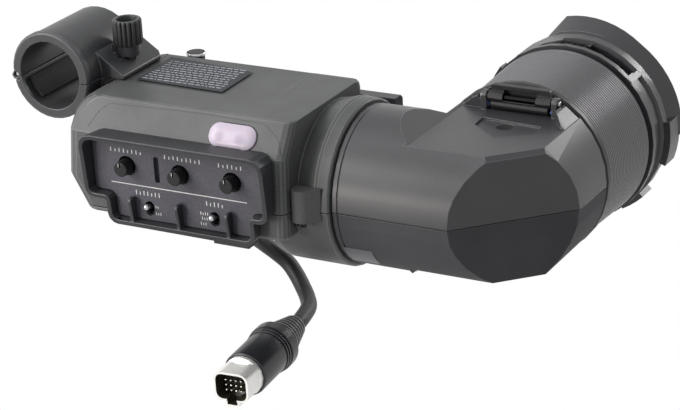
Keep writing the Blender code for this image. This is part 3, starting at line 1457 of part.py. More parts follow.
def shape_elbow_top(shell, body):
    """Pocket and thumb dimple in the top flat, a shoulder by the hinge, and the ears that hold its pin."""
    cut(shell, body, prism(rounded(POCKET_CORNERS), "z", FLAT_TOP - POCKET_DEPTH, FLAT_TOP + OVER))
    cut(shell, body, rod("z", (DIMPLE_X, DIMPLE_Y), DIMPLE_RADIUS, FLAT_TOP - DIMPLE_DEPTH, FLAT_TOP + OVER))
    reach = (SHOULDER_RING_START, SHOULDER_RING_END)
    ring = helper(rod("y", (0.0, 0.0), SHOULDER_RING_RADIUS, *reach, FINE), body)
    keep(ring, body, prism(SHOULDER_RING_CORNERS, "z", FLAT_TOP - ELBOW_WALL / 2, FAR))
    join(shell, body, ring)
    cut(shell, body, hinge_rod(HINGE_RELIEF, HINGE_RELIEF_HALF, ROUND))
    ear = rectangle(HINGE_Y - EAR_RADIUS, HINGE_Y + EAR_RADIUS, FLAT_TOP - EDGE, HINGE_Z + EAR_RADIUS)
    ear = ear[:2] + [(y, z, EAR_RADIUS - HINGE_PIN_RADIUS / 2) for y, z, _ in ear[2:]]
    for side in (-1, 1):
        low, high = sorted((side * EAR_INNER, side * EAR_OUTER))
        join(shell, body, prism(rounded(ear), "x", HINGE_X + low, HINGE_X + high))
    cut(shell, body, hinge_rod(HINGE_PIN_RADIUS + GAP, EAR_OUTER + OVER))
    piece("hinge_pin", hinge_rod(HINGE_PIN_RADIUS, HINGE_PIN_HALF), "steel", body)


def make_hinge_frame(body):
    """Plate with a shallow window, knuckles on the hinge pin and a bar below, fixed on the flange."""
    plate = rectangle(HINGE_X - FRAME_HALF, HINGE_X + FRAME_HALF, FRAME_BOTTOM, FRAME_TOP, FRAME_ROUND)
    frame = piece("hinge_frame", prism(rounded(plate), "y", FRAME_FRONT, FRAME_REAR), "black plastic", body)
    join(frame, body, hinge_rod(KNUCKLE_RADIUS, KNUCKLE_HALF))
    bar_half = FRAME_HALF - FRAME_ROUND / 2
    bar = rod("x", (FRAME_BAR_Y, FRAME_BAR_Z), FRAME_BAR_RADIUS, HINGE_X - bar_half, HINGE_X + bar_half)
    join(frame, body, bar)
    sides = (HINGE_X - FRAME_WINDOW_HALF, HINGE_X + FRAME_WINDOW_HALF)
    view = rectangle(*sides, FRAME_WINDOW_BOTTOM, FRAME_WINDOW_TOP, EDGE / 2)
    cut(frame, body, prism(rounded(view), "y", HINGE_Y - KNUCKLE_RADIUS - OVER, FRAME_WINDOW_BACK))
    cut(frame, body, hinge_rod(HINGE_PIN_RADIUS + GAP, EAR_OUTER))


def grip_radius(along):
    """Radius of the grip, which widens a little towards the head."""
    return between(along, GRIP_START, GRIP_END, GRIP_FOOT_RADIUS, GRIP_RADIUS)


def make_eyepiece(body):
    """Flange, grooved grip and head of the eyepiece."""
    flange = [
        (FLANGE_START, EYE_BORE),
        (FLANGE_START, FLANGE_RADIUS - FLANGE_EDGE),
        (FLANGE_START + FLANGE_EDGE, FLANGE_RADIUS),
        (FLANGE_END, FLANGE_RADIUS),
        (FLANGE_END, EYE_BORE),
    ]
    piece("eyepiece_flange", turned(flange, "y"), "black plastic", body)
    pitch = (GRIP_END - GRIP_START - 2 * GRIP_PLAIN) / GRIP_GROOVES
    grip = [(GRIP_START, EYE_BORE), (GRIP_START, GRIP_FOOT_RADIUS)]
    for number in range(GRIP_GROOVES):
        start = GRIP_START + GRIP_PLAIN + number * pitch
        valley = grip_radius(start + pitch / 2) - GRIP_GROOVE_DEPTH
        grip += [(start, grip_radius(start)), (start + pitch / 2, valley)]
    end = GRIP_END - GRIP_PLAIN
    grip += [(end, grip_radius(end)), (GRIP_END, GRIP_RADIUS), (GRIP_END, EYE_BORE)]
    piece("eyepiece_grip", turned(grip, "y"), "elbow moulding", body)
    make_head(body)


def arc_steps(start, stop):
    """How many steps an arc between two angles takes."""
    return max(round((stop - start) / ARC_STEP), 1)


def ring_part(start, end, outer, inner, angles):
    """Part of a ring about the eyepiece's axis, between two angles."""
    profile = [(start, inner), (start, outer), (end, outer), (end, inner)]
    return turned(profile, "y", (0.0, 0.0), angles, arc_steps(*angles))


def brow():
    """Flared brow over the eye, lofted from sections that reach furthest out near its left end."""
    stations = list(zip(BROW_ANGLES, BROW_ENDS, BROW_OUTERS))
    sections = []
    for first, second in zip(stations, stations[1:]):
        steps = arc_steps(first[0], second[0])
        for step in range(steps):
            sections.append([between(step, 0, steps, a, b) for a, b in zip(first, second)])
    sections.append(stations[-1])
    loops = []
    for angle, end, outer in sections:
        profile = [
            (HEAD_BAND_END - HEAD_EDGE, HEAD_LIP_RADIUS - HEAD_EDGE),
            (HEAD_BAND_END - HEAD_EDGE, HEAD_BAND_RADIUS - HEAD_EDGE),
            (end, outer),
            (end, outer - BROW_WALL),
            (HEAD_END, HEAD_LIP_RADIUS - HEAD_EDGE),
        ]
        loops.append([lay("y", *polar(angle, radius), along) for along, radius in profile])
    return loft(loops)


def make_head(body):
    """Head ring with its ridge, focus slot, band, flared brow and three lugs."""
    profile = [
        (HEAD_START, EYE_BORE),
        (HEAD_START, HEAD_NECK_RADIUS),
        (HEAD_NECK_END, HEAD_NECK_RADIUS),
        (HEAD_NECK_END, HEAD_RIDGE_RADIUS),
        (HEAD_RIDGE_END, HEAD_RIDGE_RADIUS),
        (HEAD_RIDGE_END, HEAD_SLOT_RADIUS),
        (HEAD_CHANNEL, HEAD_SLOT_RADIUS),
        (HEAD_BAND_START, HEAD_BAND_RADIUS),
        (HEAD_BAND_END, HEAD_BAND_RADIUS),
        (HEAD_BAND_END, HEAD_LIP_RADIUS + HEAD_EDGE),
        (HEAD_END, HEAD_LIP_RADIUS),
        (HEAD_END, EYE_BORE),
    ]
    head = piece("eyepiece_head", turned(profile, "y"), "elbow moulding", body)
    join(head, body, brow())
    inner = (EYE_BORE + HEAD_LIP_RADIUS) / 2
    foot = HEAD_NECK_END + HEAD_EDGE
    join(head, body, ring_part(foot, HEAD_BAND_START + HEAD_EDGE, RIB_RADIUS, inner, RIB_ANGLES))
    join(head, body, ring_part(LUG_START, LUG_END, LUG_OUTER, inner, LUG_RIGHT_ANGLES))
    join(head, body, ring_part(LUG_START, LUG_END, LUG_OUTER, inner, LUG_LOW_ANGLES))
    join(head, body, ring_part(LUG_LEFT_START, LUG_LEFT_END, LUG_LEFT_RADIUS, inner, LUG_LEFT_ANGLES))
    reach = FOCUS_TAB_RADIUS + OVER
    cut(head, body, ring_part(SLOT_START, SLOT_END, reach, EYE_BORE - OVER, SLOT_ANGLES))


def make_focus(body):
    """Focus ring whose ribbed tab stands in the head's slot."""
    turn_body = new_body("focus_axis", (0.0, (SLOT_START + SLOT_END) / 2, 0.0), body)
    solid = tube("y", (0.0, 0.0), FOCUS_RADIUS, FOCUS_BORE, FOCUS_START, FOCUS_END)
    ring = piece("focus_ring", solid, "black plastic", turn_body)
    low, high = FOCUS_TAB_ANGLES
    foot = (FOCUS_RADIUS + FOCUS_BORE) / 2
    pitch = (high - low) / (2 * FOCUS_TAB_RIBS - 1)
    outline = [polar(high, foot), polar((low + high) / 2, foot), polar(low, foot)]
    for number in range(FOCUS_TAB_RIBS):
        start = low + 2 * number * pitch
        outline += [polar(start, FOCUS_TAB_RADIUS), polar(start + pitch, FOCUS_TAB_RADIUS)]
        if number < FOCUS_TAB_RIBS - 1:
            valley = FOCUS_TAB_RADIUS - FOCUS_TAB_RIB
            outline += [polar(start + pitch, valley), polar(start + 2 * pitch, valley)]
    join(ring, turn_body, prism(outline, "y", FOCUS_TAB_START, FOCUS_TAB_END))


def lens_profile(start, end, bulge):
    """Profile of a lens that bulges the same on both sides."""
    def face(edge, way):
        shares = [step / LENS_STEPS for step in range(LENS_STEPS + 1)]
        return [(edge + way * bulge * (1 - share ** 2), LENS_RADIUS * share) for share in shares]
    return face(start, -1) + face(end, 1)[::-1]


def lens_rise(radius, bulge):
    """How far a lens's face stands over its rim at a radius."""
    return bulge * (1 - (radius / LENS_RADIUS) ** 2)


def make_lens_cell(body):
    """Cell that slides along the eyepiece's axis, with its two lenses and retaining ring."""
    slide = new_body("lens_cell_axis", (0.0, CELL_START, 0.0), body)
    rise = lens_rise(CELL_LEDGE, LENS_BULGE) + GAP
    ledge_start = FRONT_LENS_RIM_END + lens_rise(CELL_LEDGE, FRONT_LENS_BULGE) + GAP
    ledge_end = LENS_RIM_START - rise
    retainer_start = LENS_RIM_END + rise
    profile = [
        (CELL_START, CELL_BORE),
        (CELL_START, CELL_RADIUS),
        (CELL_END, CELL_RADIUS),
        (CELL_END, CELL_BORE),
        (ledge_end, CELL_BORE),
        (ledge_end, CELL_LEDGE),
        (ledge_start, CELL_LEDGE),
        (ledge_start, CELL_BORE),
    ]
    piece("lens_cell", turned(profile, "y"), "black plastic", slide)
    eye = lens_profile(LENS_RIM_START, LENS_RIM_END, LENS_BULGE)
    piece("eye_lens", turned(eye, "y", steps=ROUND), "eye glass", slide)
    front = lens_profile(FRONT_LENS_RIM_START, FRONT_LENS_RIM_END, FRONT_LENS_BULGE)
    piece("field_lens", turned(front, "y", steps=ROUND), "eye glass", slide)
    end = retainer_start + RETAINER_LENGTH
    retainer = tube("y", (0.0, 0.0), LENS_RADIUS, CELL_LEDGE, retainer_start, end, ROUND)
    piece("lens_retainer", retainer, "black plastic", slide)
    ring = tube("y", (0.0, 0.0), EYE_RING_RADIUS, EYE_RING_BORE, EYE_RING_START, EYE_RING_END)
    piece("eyecup_ring", ring, "steel", body)


def smooth_route(points, spacing):
    """Points read at even spacing from a smooth curve through the route's own points."""
    route = [Vector(point) for point in points]
    ends = [2 * route[0] - route[1]] + route + [2 * route[-1] - route[-2]]
    dense = []
    for a, b, c, d in zip(ends, ends[1:], ends[2:], ends[3:]):
        for step in range(CURVE_SAMPLES):
            t = step / CURVE_SAMPLES
            pull = (c - a) * t + (2 * a - 5 * b + 4 * c - d) * t**2 + (3 * b - a - 3 * c + d) * t**3
            dense.append(b + pull / 2)
    dense.append(route[-1])
    lengths = [0.0]
    for first, second in zip(dense, dense[1:]):
        lengths.append(lengths[-1] + (second - first).length)
    count = max(round(lengths[-1] / spacing), 2)
    even = []
    for step in range(count + 1):
        wanted = lengths[-1] * step / count
        index = min(range(len(lengths)), key=lambda i: abs(lengths[i] - wanted))
        even.append(dense[index])
    return even


def on_plug_axis(distance):
    """Point on the plug's axis at a distance past the tail of its boot."""
    tail, mouth = Vector(PLUG_TAIL), Vector(PLUG_MOUTH)
    return tuple(tail + (mouth - tail).normalized() * distance)


def make_cable(frame):
    """Gland under the housing, the hanging cable and the plug with its boot, shell, insert and pins."""
    start, second = Vector(CABLE_ROUTE[0]), Vector(CABLE_ROUTE[1])
    way = (second - start).normalized()
    gland_top = start - way * GAP
    lean = Vector((0.0, 0.0, -1.0)).rotation_difference(way).to_matrix()
    seat = start - way * GLAND_FLANGE
    seat.z = BOX_BOTTOM - GAP
    loops = []
    for centre, radius, tilt in (
        (seat, GLAND_FLANGE, Matrix.Identity(3)),
        (seat - Vector((0.0, 0.0, GLAND_FLANGE_DEPTH)), GLAND_FLANGE, Matrix.Identity(3)),
        (seat - Vector((0.0, 0.0, GLAND_FLANGE_DEPTH)), GLAND_NECK, Matrix.Identity(3)),
        (gland_top, GLAND_END, lean),
    ):
        spokes = [polar(-360 * i / ROUND, radius) for i in range(ROUND)]
        loops.append([centre + tilt @ Vector((u, v, 0.0)) for u, v in spokes])
    piece("cable_gland", loft(loops), "rubber", frame)
    curve = bpy.data.curves.new("cable", "CURVE")
    curve.dimensions = "3D"
    curve.bevel_depth = CABLE_RADIUS
    curve.bevel_resolution = CABLE_BEVEL
    curve.use_fill_caps = True
    spline = curve.splines.new("POLY")
    ends = (on_plug_axis(-CABLE_LEAD - GAP), on_plug_axis(-GAP))
    points = smooth_route(CABLE_ROUTE + ends, CABLE_SPACING)
    spline.points.add(len(points) - 1)
    for point, place in zip(spline.points, points):
        point.co = (*(place - frame.pivot), 1.0)
    spline.use_smooth = True
    curve.materials.append(material("rubber"))
    cable = bpy.data.objects.new("cable", curve)
    cable.parent = frame.empty
    bpy.context.scene.collection.objects.link(cable)
    make_plug(frame)


def make_plug(frame):
    """Round multi-pin plug on the cable's end, drawn along X from its tail and then laid on its axis."""
    tail, mouth = Vector(PLUG_TAIL), Vector(PLUG_MOUTH)
    way = (mouth - tail).normalized()
    place = Matrix.Translation(tail) @ way.to_track_quat("X", "Z").to_matrix().to_4x4()
    boot = [(0.0, 0.0), (0.0, BOOT_TAIL_RADIUS)]
    pitch = BOOT_END / (BOOT_RIBS + 1)
    for number in range(BOOT_RIBS):
        low, high = (number + 1 / 2) * pitch, (number + 1) * pitch
        radius = between(high, 0.0, BOOT_END, BOOT_TAIL_RADIUS, BOOT_RADIUS)
        boot += [(low, radius - BOOT_RIB_DEPTH), (high, radius)]
    boot += [(BOOT_END, BOOT_RADIUS), (BOOT_END, 0.0)]
    piece("strain_relief", moved(turned(boot, "x", steps=ROUND), place), "rubber", frame)
    body = [
        (PLUG_BODY_START, 0.0),
        (PLUG_BODY_START, PLUG_RING_RADIUS - PLUG_SHOULDER_DROP),
        (PLUG_BODY_START + PLUG_SHOULDER / 2, PLUG_RING_RADIUS - PLUG_SHOULDER_DROP / 4),
        (PLUG_BODY_START + PLUG_SHOULDER, PLUG_RING_RADIUS),
    ]
    for number in range(PLUG_GROOVES):
        start = PLUG_RING_END + 2 * number * PLUG_GROOVE_WIDTH
        floor = PLUG_RING_RADIUS - PLUG_GROOVE_DEPTH
        end = start + PLUG_GROOVE_WIDTH
        body += [(start, PLUG_RING_RADIUS), (start, floor), (end, floor), (end, PLUG_RING_RADIUS)]
    body += [
        (PLUG_BODY_END - PLUG_BODY_EDGE, PLUG_FRONT_RADIUS),
        (PLUG_BODY_END, PLUG_FRONT_RADIUS - PLUG_BODY_EDGE),
        (PLUG_BODY_END, 0.0),
    ]
    piece("plug_body", moved(turned(body, "x", steps=ROUND), place), "black plastic", frame)
    collar = [
        (PLUG_SHELL_START, 0.0),
        (PLUG_SHELL_START, PLUG_SHELL_RADIUS),
        (PLUG_MOUTH_START - EDGE, PLUG_SHELL_RADIUS),
        (PLUG_MOUTH_START, PLUG_SHELL_RADIUS - EDGE),
        (PLUG_MOUTH_START, 0.0),
    ]
    shell = piece("plug_shell", moved(turned(collar, "x", steps=ROUND), place), "plug shell", frame)
    sides = (-PLUG_MOUTH_HALF, PLUG_MOUTH_HALF)
    square = rectangle(*sides, PLUG_MOUTH_LOW, PLUG_MOUTH_HIGH, PLUG_MOUTH_ROUND)
    join(shell, frame, moved(prism(rounded(square), "x", PLUG_MOUTH_START - EDGE, PLUG_MOUTH_END), place))
    slot = rectangle(-PLUG_KEY_WIDTH / 2, PLUG_KEY_WIDTH / 2, PLUG_MOUTH_LOW - PLUG_KEY_DEPTH, 0.0)
    boss = rounded(offset(slot, PLUG_MOUTH_WALL))
    join(shell, frame, moved(prism(boss, "x", PLUG_MOUTH_START - EDGE / 2, PLUG_MOUTH_END - EDGE / 2), place))
    cavity = prism(rounded(offset(square, -PLUG_MOUTH_WALL)), "x", PLUG_CAVITY_START, PLUG_MOUTH_END + OVER)
    keyway = prism(rounded(slot), "x", PLUG_INSERT_END, PLUG_MOUTH_END + OVER)
    cut(shell, frame, moved(cavity, place), moved(keyway, place))
    core = rounded(offset(square, -PLUG_MOUTH_WALL - GAP))
    insert = prism(core, "x", PLUG_CAVITY_START + GAP, PLUG_INSERT_END)
    piece("plug_insert", moved(insert, place), "black plastic", frame)
    base = PLUG_INSERT_END + GAP
    across = (PIN_COLUMNS - 1) / 2 * PIN_PITCH + PIN_RADIUS * 2
    up = (PIN_ROWS - 1) / 2 * PIN_PITCH + PIN_RADIUS * 2
    plate = prism(rounded(rectangle(-across, across, -up, up, EDGE)), "x", base, base + PIN_PLATE)
    pins = piece("contact_pins", moved(plate, place), "brass", frame)
    for column in range(PIN_COLUMNS):
        for row in range(PIN_ROWS):
            at = ((column - (PIN_COLUMNS - 1) / 2) * PIN_PITCH, (row - (PIN_ROWS - 1) / 2) * PIN_PITCH)
            root, tip = base + PIN_PLATE / 2, PIN_END - EDGE
            pin = [(root, 0.0), (root, PIN_RADIUS), (tip, PIN_RADIUS), (PIN_END, 0.0)]
            join(pins, frame, moved(turned(pin, "x", at, steps=TINY), place))


def build():
    clear_scene()
    frame = new_body("viewfinder", ORIGIN)
    make_housing(frame)
    make_latch(frame)
    make_guard(frame)
    make_panel(frame)
    make_knobs(frame)
    make_toggles(frame)
    make_tally_lamp(frame)
    make_picture_tube(frame)
    make_rail(frame)
    make_holder(frame)
    make_cable(frame)
    elbow = new_body("elbow_axis", (0.0, 0.0, 0.0), frame)
    make_elbow(elbow)
    eyepiece = new_body("eyepiece_hinge", (0.0, HINGE_Y, HINGE_Z), elbow)
    make_hinge_frame(eyepiece)
    make_eyepiece(eyepiece)
    make_focus(eyepiece)
    make_lens_cell(eyepiece)


build()
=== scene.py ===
"""Photographic scene of an electronic viewfinder with a swivelling mirror elbow and flip-up eyepiece.

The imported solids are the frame. Each shown solid is joined, softly bevelled and given the finish of the real
piece, and the fine pieces, such as the grooved sleeve, ribbed screw head, lamp window and cable, are worked
out as surfaces with numpy.
"""
import json
import math

import bmesh
import bpy
import numpy as np
from mathutils import Matrix, Vector

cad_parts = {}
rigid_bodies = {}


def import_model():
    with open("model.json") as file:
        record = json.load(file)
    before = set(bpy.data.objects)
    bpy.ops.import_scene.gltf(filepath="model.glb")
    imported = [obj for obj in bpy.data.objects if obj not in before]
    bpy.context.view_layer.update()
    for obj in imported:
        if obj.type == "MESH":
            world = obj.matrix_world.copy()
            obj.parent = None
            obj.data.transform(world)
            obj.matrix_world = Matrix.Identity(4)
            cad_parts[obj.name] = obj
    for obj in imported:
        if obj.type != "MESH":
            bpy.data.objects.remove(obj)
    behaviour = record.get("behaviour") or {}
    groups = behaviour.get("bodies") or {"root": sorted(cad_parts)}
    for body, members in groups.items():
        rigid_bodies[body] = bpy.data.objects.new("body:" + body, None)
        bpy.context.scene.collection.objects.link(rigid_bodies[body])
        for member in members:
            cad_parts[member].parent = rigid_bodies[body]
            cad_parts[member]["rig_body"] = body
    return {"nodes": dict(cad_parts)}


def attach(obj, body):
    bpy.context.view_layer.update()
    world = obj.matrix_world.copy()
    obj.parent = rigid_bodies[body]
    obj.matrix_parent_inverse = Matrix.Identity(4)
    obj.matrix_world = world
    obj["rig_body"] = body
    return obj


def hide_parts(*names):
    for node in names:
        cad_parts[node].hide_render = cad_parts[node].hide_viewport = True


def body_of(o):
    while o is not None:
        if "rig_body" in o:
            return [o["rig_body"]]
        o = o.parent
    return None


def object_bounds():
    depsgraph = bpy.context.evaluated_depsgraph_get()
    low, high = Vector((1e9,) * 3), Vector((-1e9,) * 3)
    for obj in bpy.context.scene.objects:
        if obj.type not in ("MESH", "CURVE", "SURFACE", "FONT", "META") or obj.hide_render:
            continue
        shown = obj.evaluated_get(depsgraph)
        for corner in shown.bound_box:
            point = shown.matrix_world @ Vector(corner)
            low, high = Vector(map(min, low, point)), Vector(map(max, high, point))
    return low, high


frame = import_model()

CAD_BOX = [list(corner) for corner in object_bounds()]

# The optical frame's origin, where tube axis and eyepiece axis cross, as seen from the rail's mount
CROSSING = np.array((0.09785, -0.0304, -0.017075))
MM = 0.001
PHOTO_WIDTH = 680


def placed(points):
    """Points of the optical frame moved into the frame of the rail's mount."""
    return np.asarray(points, float) + CROSSING


# Camera
def make_camera():
    """Camera fitted to the photograph: long lens from the front right, a little above."""
    right = Vector((0.87639721, 0.47874171, -0.05229062))
    up = Vector((-0.14033523, 0.35773978, 0.92321627))
    ahead = Vector((-0.46068857, 0.80176594, -0.38070647))
    data = bpy.data.cameras.new("camera")
    data.sensor_width = 36.0
    data.lens = 2360.11 / PHOTO_WIDTH * data.sensor_width
    data.clip_start, data.clip_end = 0.05, 20.0
    camera = bpy.data.objects.new("camera", data)
    bpy.context.scene.collection.objects.link(camera)
    turn = Matrix((right, up, -ahead)).transposed().to_4x4()
    camera.matrix_world = Matrix.Translation((0.4508776, -0.7529882, 0.3146992)) @ turn
    bpy.context.scene.camera = camera


# Materials
def linear(code):
    """Linear RGBA of an sRGB hex colour."""
    shares = [int(code[i : i + 2], 16) / 255 for i in (1, 3, 5)]
    return [s / 12.92 if s <= 0.04045 else ((s + 0.055) / 1.055) ** 2.4 for s in shares] + [1.0]


def add(tree, kind, inputs=None, **settings):
    """A node of that kind with its settings. An input is given a value or another node's output."""
    made = tree.nodes.new(kind)
    for name, value in settings.items():
        setattr(made, name, value)
    for name, value in (inputs or {}).items():
        socket = made.inputs[name]
        if isinstance(value, bpy.types.NodeSocket):
            tree.links.new(value, socket)
        else:
            socket.default_value = value
    return made


def new_finish(name, **sockets):
    """A material, its tree and its shader, with the values that are the same all over set on the shader."""
    made = bpy.data.materials.new(name)
    made.use_nodes = True
    shader = made.node_tree.nodes["Principled BSDF"]
    for socket, value in sockets.items():
        shader.inputs[socket.replace("_", " ")].default_value = value
    return made, made.node_tree, shader


def vary_roughness(tree, shader, noise, least, most, span=(0.0, 1.0)):
    """The shader's roughness runs from least to most as the noise runs through its span."""
    limits = {"From Min": span[0], "From Max": span[1], "To Min": least, "To Max": most}
    gloss = add(tree, "ShaderNodeMapRange", {"Value": noise.outputs["Fac"], **limits})
    tree.links.new(gloss.outputs[0], shader.inputs["Roughness"])


def two_tones(tree, share, dark, light, dark_at=0.0, light_at=1.0):
    """A ramp between two sRGB hex colours, driven by a share from 0 to 1, and its colour output."""
    ramp = add(tree, "ShaderNodeValToRGB", {"Fac": share.outputs[0]})
    for stop, code, position in zip(ramp.color_ramp.elements, (dark, light), (dark_at, light_at)):
        stop.color, stop.position = linear(code), position
    return ramp.outputs["Color"]


def grained(name, dark, light, roughness, grain, relief, specular=0.3, spread=0.08, patch=22):
    """A moulding with an eroded grain: colour, roughness and relief follow noise of the grain's size.

    grain and relief are in millimetres, and patch is the width of the slow change in tone.
    """
    darkest, palest = 0.72, 1.28
    made, tree, shader = new_finish(name, Specular_IOR_Level=specular)
    place = add(tree, "ShaderNodeTexCoord").outputs["Object"]
    fine = add(tree, "ShaderNodeTexNoise", {"Vector": place, "Scale": 1 / (grain * MM), "Detail": 3.0})
    slow = add(tree, "ShaderNodeTexNoise", {"Vector": place, "Scale": 1 / (patch * MM), "Detail": 2.0})
    both = add(tree, "ShaderNodeMath", {0: fine.outputs["Fac"], 1: slow.outputs["Fac"]}, operation="ADD")
    limits = {"From Min": darkest, "From Max": palest}
    share = add(tree, "ShaderNodeMapRange", {"Value": both.outputs[0], **limits})
    tree.links.new(two_tones(tree, share, dark, light), shader.inputs["Base Color"])
    vary_roughness(tree, shader, fine, roughness - spread, roughness + spread, (0.3, 0.7))
    height = {"Height": fine.outputs["Fac"], "Distance": relief * MM, "Strength": 1.0}
    bump = add(tree, "ShaderNodeBump", height)
    tree.links.new(bump.outputs["Normal"], shader.inputs["Normal"])
    return made


def brushed(name, code, roughness):
    """Metal turned or brushed: level scratches vary its roughness, nine times finer in height than length."""
    scratch, finer = 0.3, 9.0
    made, tree, shader = new_finish(name, Base_Color=linear(code), Metallic=1.0)
    place = add(tree, "ShaderNodeTexCoord").outputs["Object"]
    long = add(tree, "ShaderNodeMapping", {"Vector": place, "Scale": (1.0, 1.0, finer)})
    pattern = {"Vector": long.outputs[0], "Scale": 1 / (scratch * MM), "Detail": 2.0}
    lines = add(tree, "ShaderNodeTexNoise", pattern)
    vary_roughness(tree, shader, lines, roughness * 0.6, roughness * 1.4)
    return made


def lamp_window_finish():
    """Milky cast acrylic: pink-white, with the two lamps showing as duller discs beneath the crown."""
    lamp_radius, dimmed_to, haze, haze_size, clear_at = 0.0012, 0.0042, 0.35, 5, 0.95
    made, tree, shader = new_finish(
        "cast_acrylic_lamp_window",
        Roughness=0.28,
        Specular_IOR_Level=0.3,
        Subsurface_Weight=0.2,
        Subsurface_Scale=0.002,
    )
    place = add(tree, "ShaderNodeTexCoord").outputs["Object"]
    discs = []
    for x in LAMP_X:
        centre = Vector(face_points(x, LAMP_UP, 0.0).tolist())
        gap = add(tree, "ShaderNodeVectorMath", {0: place, 1: centre}, operation="DISTANCE")
        limits = {"From Min": lamp_radius, "From Max": dimmed_to}
        inputs = {"Value": gap.outputs["Value"], **limits}
        discs.append(add(tree, "ShaderNodeMapRange", inputs, interpolation_type="SMOOTHSTEP").outputs[0])
    near = add(tree, "ShaderNodeMath", {0: discs[0], 1: discs[1]}, operation="MULTIPLY")
    cloud = add(tree, "ShaderNodeTexNoise", {"Vector": place, "Scale": 1 / (haze_size * MM), "Detail": 1.0})
    mist = add(tree, "ShaderNodeMath", {0: cloud.outputs["Fac"], 1: haze}, operation="MULTIPLY")
    total = add(tree, "ShaderNodeMath", {0: near.outputs[0], 1: mist.outputs[0]}, operation="ADD")
    colour = two_tones(tree, total, "#9c8aa0", "#c3b8c8", light_at=clear_at)
    tree.links.new(colour, shader.inputs["Base Color"])
    return made


def sleeve_finish():
    """Moulded grooves with painted shade in the valleys and a painted highlight on the crests, in step with
    the turned profile.
    """
    made, tree, shader = new_finish("grooved_ABS_sleeve_painted_shade_and_highlight", Specular_IOR_Level=0.9, Roughness=0.3)
    place = add(tree, "ShaderNodeTexCoord").outputs["Object"]
    parts = add(tree, "ShaderNodeSeparateXYZ", {"Vector": place})
    first = float(CROSSING[1]) + SLEEVE_START + SLEEVE_PLAIN
    pitch = (SLEEVE_END - SLEEVE_START - 2 * SLEEVE_PLAIN) / SLEEVE_GROOVES
    limits = {"From Min": first, "From Max": first + pitch}
    turns = add(tree, "ShaderNodeMapRange", {"Value": parts.outputs["Y"], **limits}, clamp=False)
    crest_and_valley_shading = add(tree, "ShaderNodeMath", {0: turns.outputs[0], 1: 0.5}, operation="PINGPONG")
    # Painted shade in the valleys and a painted highlight on the crests
    colour = two_tones(tree, crest_and_valley_shading, "#1e1e20", "#515155", dark_at=0.05, light_at=0.34)
    tree.links.new(colour, shader.inputs["Base Color"])
    return made


def plug_shell_finish():
    """Nickel-plated shell, bright and soft outside, whose mouth is lined with dark olive insulation.

    The lining is where a face looks back to the plug's axis.
    """
    plating, lining, nickel, scratches = 0.55, "#2f2c20", "#f4f3f0", 0.6
    made, tree, shader = new_finish("nickel_plated_plug_shell")
    place = add(tree, "ShaderNodeTexCoord").outputs["Object"]
    tail = Vector(placed(PLUG_TAIL).tolist())
    spoke = add(tree, "ShaderNodeVectorMath", {0: place, 1: tail}, operation="SUBTRACT")
    facing = add(tree, "ShaderNodeNewGeometry").outputs["True Normal"]
    outward = add(tree, "ShaderNodeVectorMath", {0: facing, 1: spoke.outputs[0]}, operation="DOT_PRODUCT")
    outside = add(tree, "ShaderNodeMath", {0: outward.outputs["Value"], 1: 0.0}, operation="GREATER_THAN")
    tone = add(tree, "ShaderNodeMix", {"Factor": outside.outputs[0]}, data_type="RGBA")
    for socket, colour in zip([i for i in tone.inputs if i.type == "RGBA"], (lining, nickel)):
        socket.default_value = linear(colour)
    picture = next(o for o in tone.outputs if o.type == "RGBA")
    tree.links.new(picture, shader.inputs["Base Color"])
    metal = add(tree, "ShaderNodeMath", {0: outside.outputs[0], 1: plating}, operation="MULTIPLY")
    tree.links.new(metal.outputs[0], shader.inputs["Metallic"])
    scratch = add(tree, "ShaderNodeTexNoise", {"Vector": place, "Scale": 1 / (scratches * MM), "Detail": 2.0})
    vary_roughness(tree, shader, scratch, 0.3, 0.42)
    return made


def hinge_pin_finish():
    """Pin dark over its middle, between the knuckles, with bright steel ends."""
    reach, fade = 0.0105, 0.0003
    made, tree, shader = new_finish("hinge_pin_steel", Metallic=1.0, Roughness=0.28)
    place = add(tree, "ShaderNodeTexCoord").outputs["Object"]
    parts = add(tree, "ShaderNodeSeparateXYZ", {"Vector": place})
    middle = float(CROSSING[0])
    away = add(tree, "ShaderNodeMath", {0: parts.outputs["X"], 1: middle}, operation="SUBTRACT")
    gap = add(tree, "ShaderNodeMath", {0: away.outputs[0]}, operation="ABSOLUTE")
    limits = {"From Min": reach, "From Max": reach + fade}
    share = add(tree, "ShaderNodeMapRange", {"Value": gap.outputs[0], **limits})
    tree.links.new(two_tones(tree, share, "#1c1c1e", "#c4c5c7"), shader.inputs["Base Color"])
    return made


def flat_finish(name, code, roughness, speck, grain=0.5, **sockets):
    """One colour all over: only the roughness varies, by speck, with noise whose grain is in millimetres."""
    made, tree, shader = new_finish(name, Base_Color=linear(code), **sockets)
    place = add(tree, "ShaderNodeTexCoord").outputs["Object"]
    noise = add(tree, "ShaderNodeTexNoise", {"Vector": place, "Scale": 1 / (grain * MM), "Detail": 1.0})
    vary_roughness(tree, shader, noise, roughness - speck, roughness + speck)
    return made


# Shapes
def unit(vector):
    """The vector, or each of an array of them, at length 1."""
    vector = np.asarray(vector, float)
    return vector / np.linalg.norm(vector, axis=-1, keepdims=True)


def surface(name, grid, finish, body, sharp=35, replace=()):
    """Mesh of a (rows, columns, 3) array of points, each four neighbours being one face.

    Columns close on themselves. Rows that shrink to one point become a pole.
    """
    return several(name, [grid], finish, body, sharp, replace)


def several(name, grids, finish, body, sharp=35, replace=()):
    """One object of many such grids."""
    points, faces = [], []
    for grid in grids:
        rows, columns = grid.shape[:2]
        index = len(points) + np.arange(rows * columns).reshape(rows, columns)
        following = np.roll(index, -1, axis=1)
        quads = np.stack([index[:-1], following[:-1], following[1:], index[1:]], axis=-1)
        faces += quads.reshape(-1, 4).tolist()
        points += grid.reshape(-1, 3).tolist()
    mesh = bpy.data.meshes.new(name)
    mesh.from_pydata(points, [], faces)
    return finished(name, mesh, finish, body, sharp, replace)


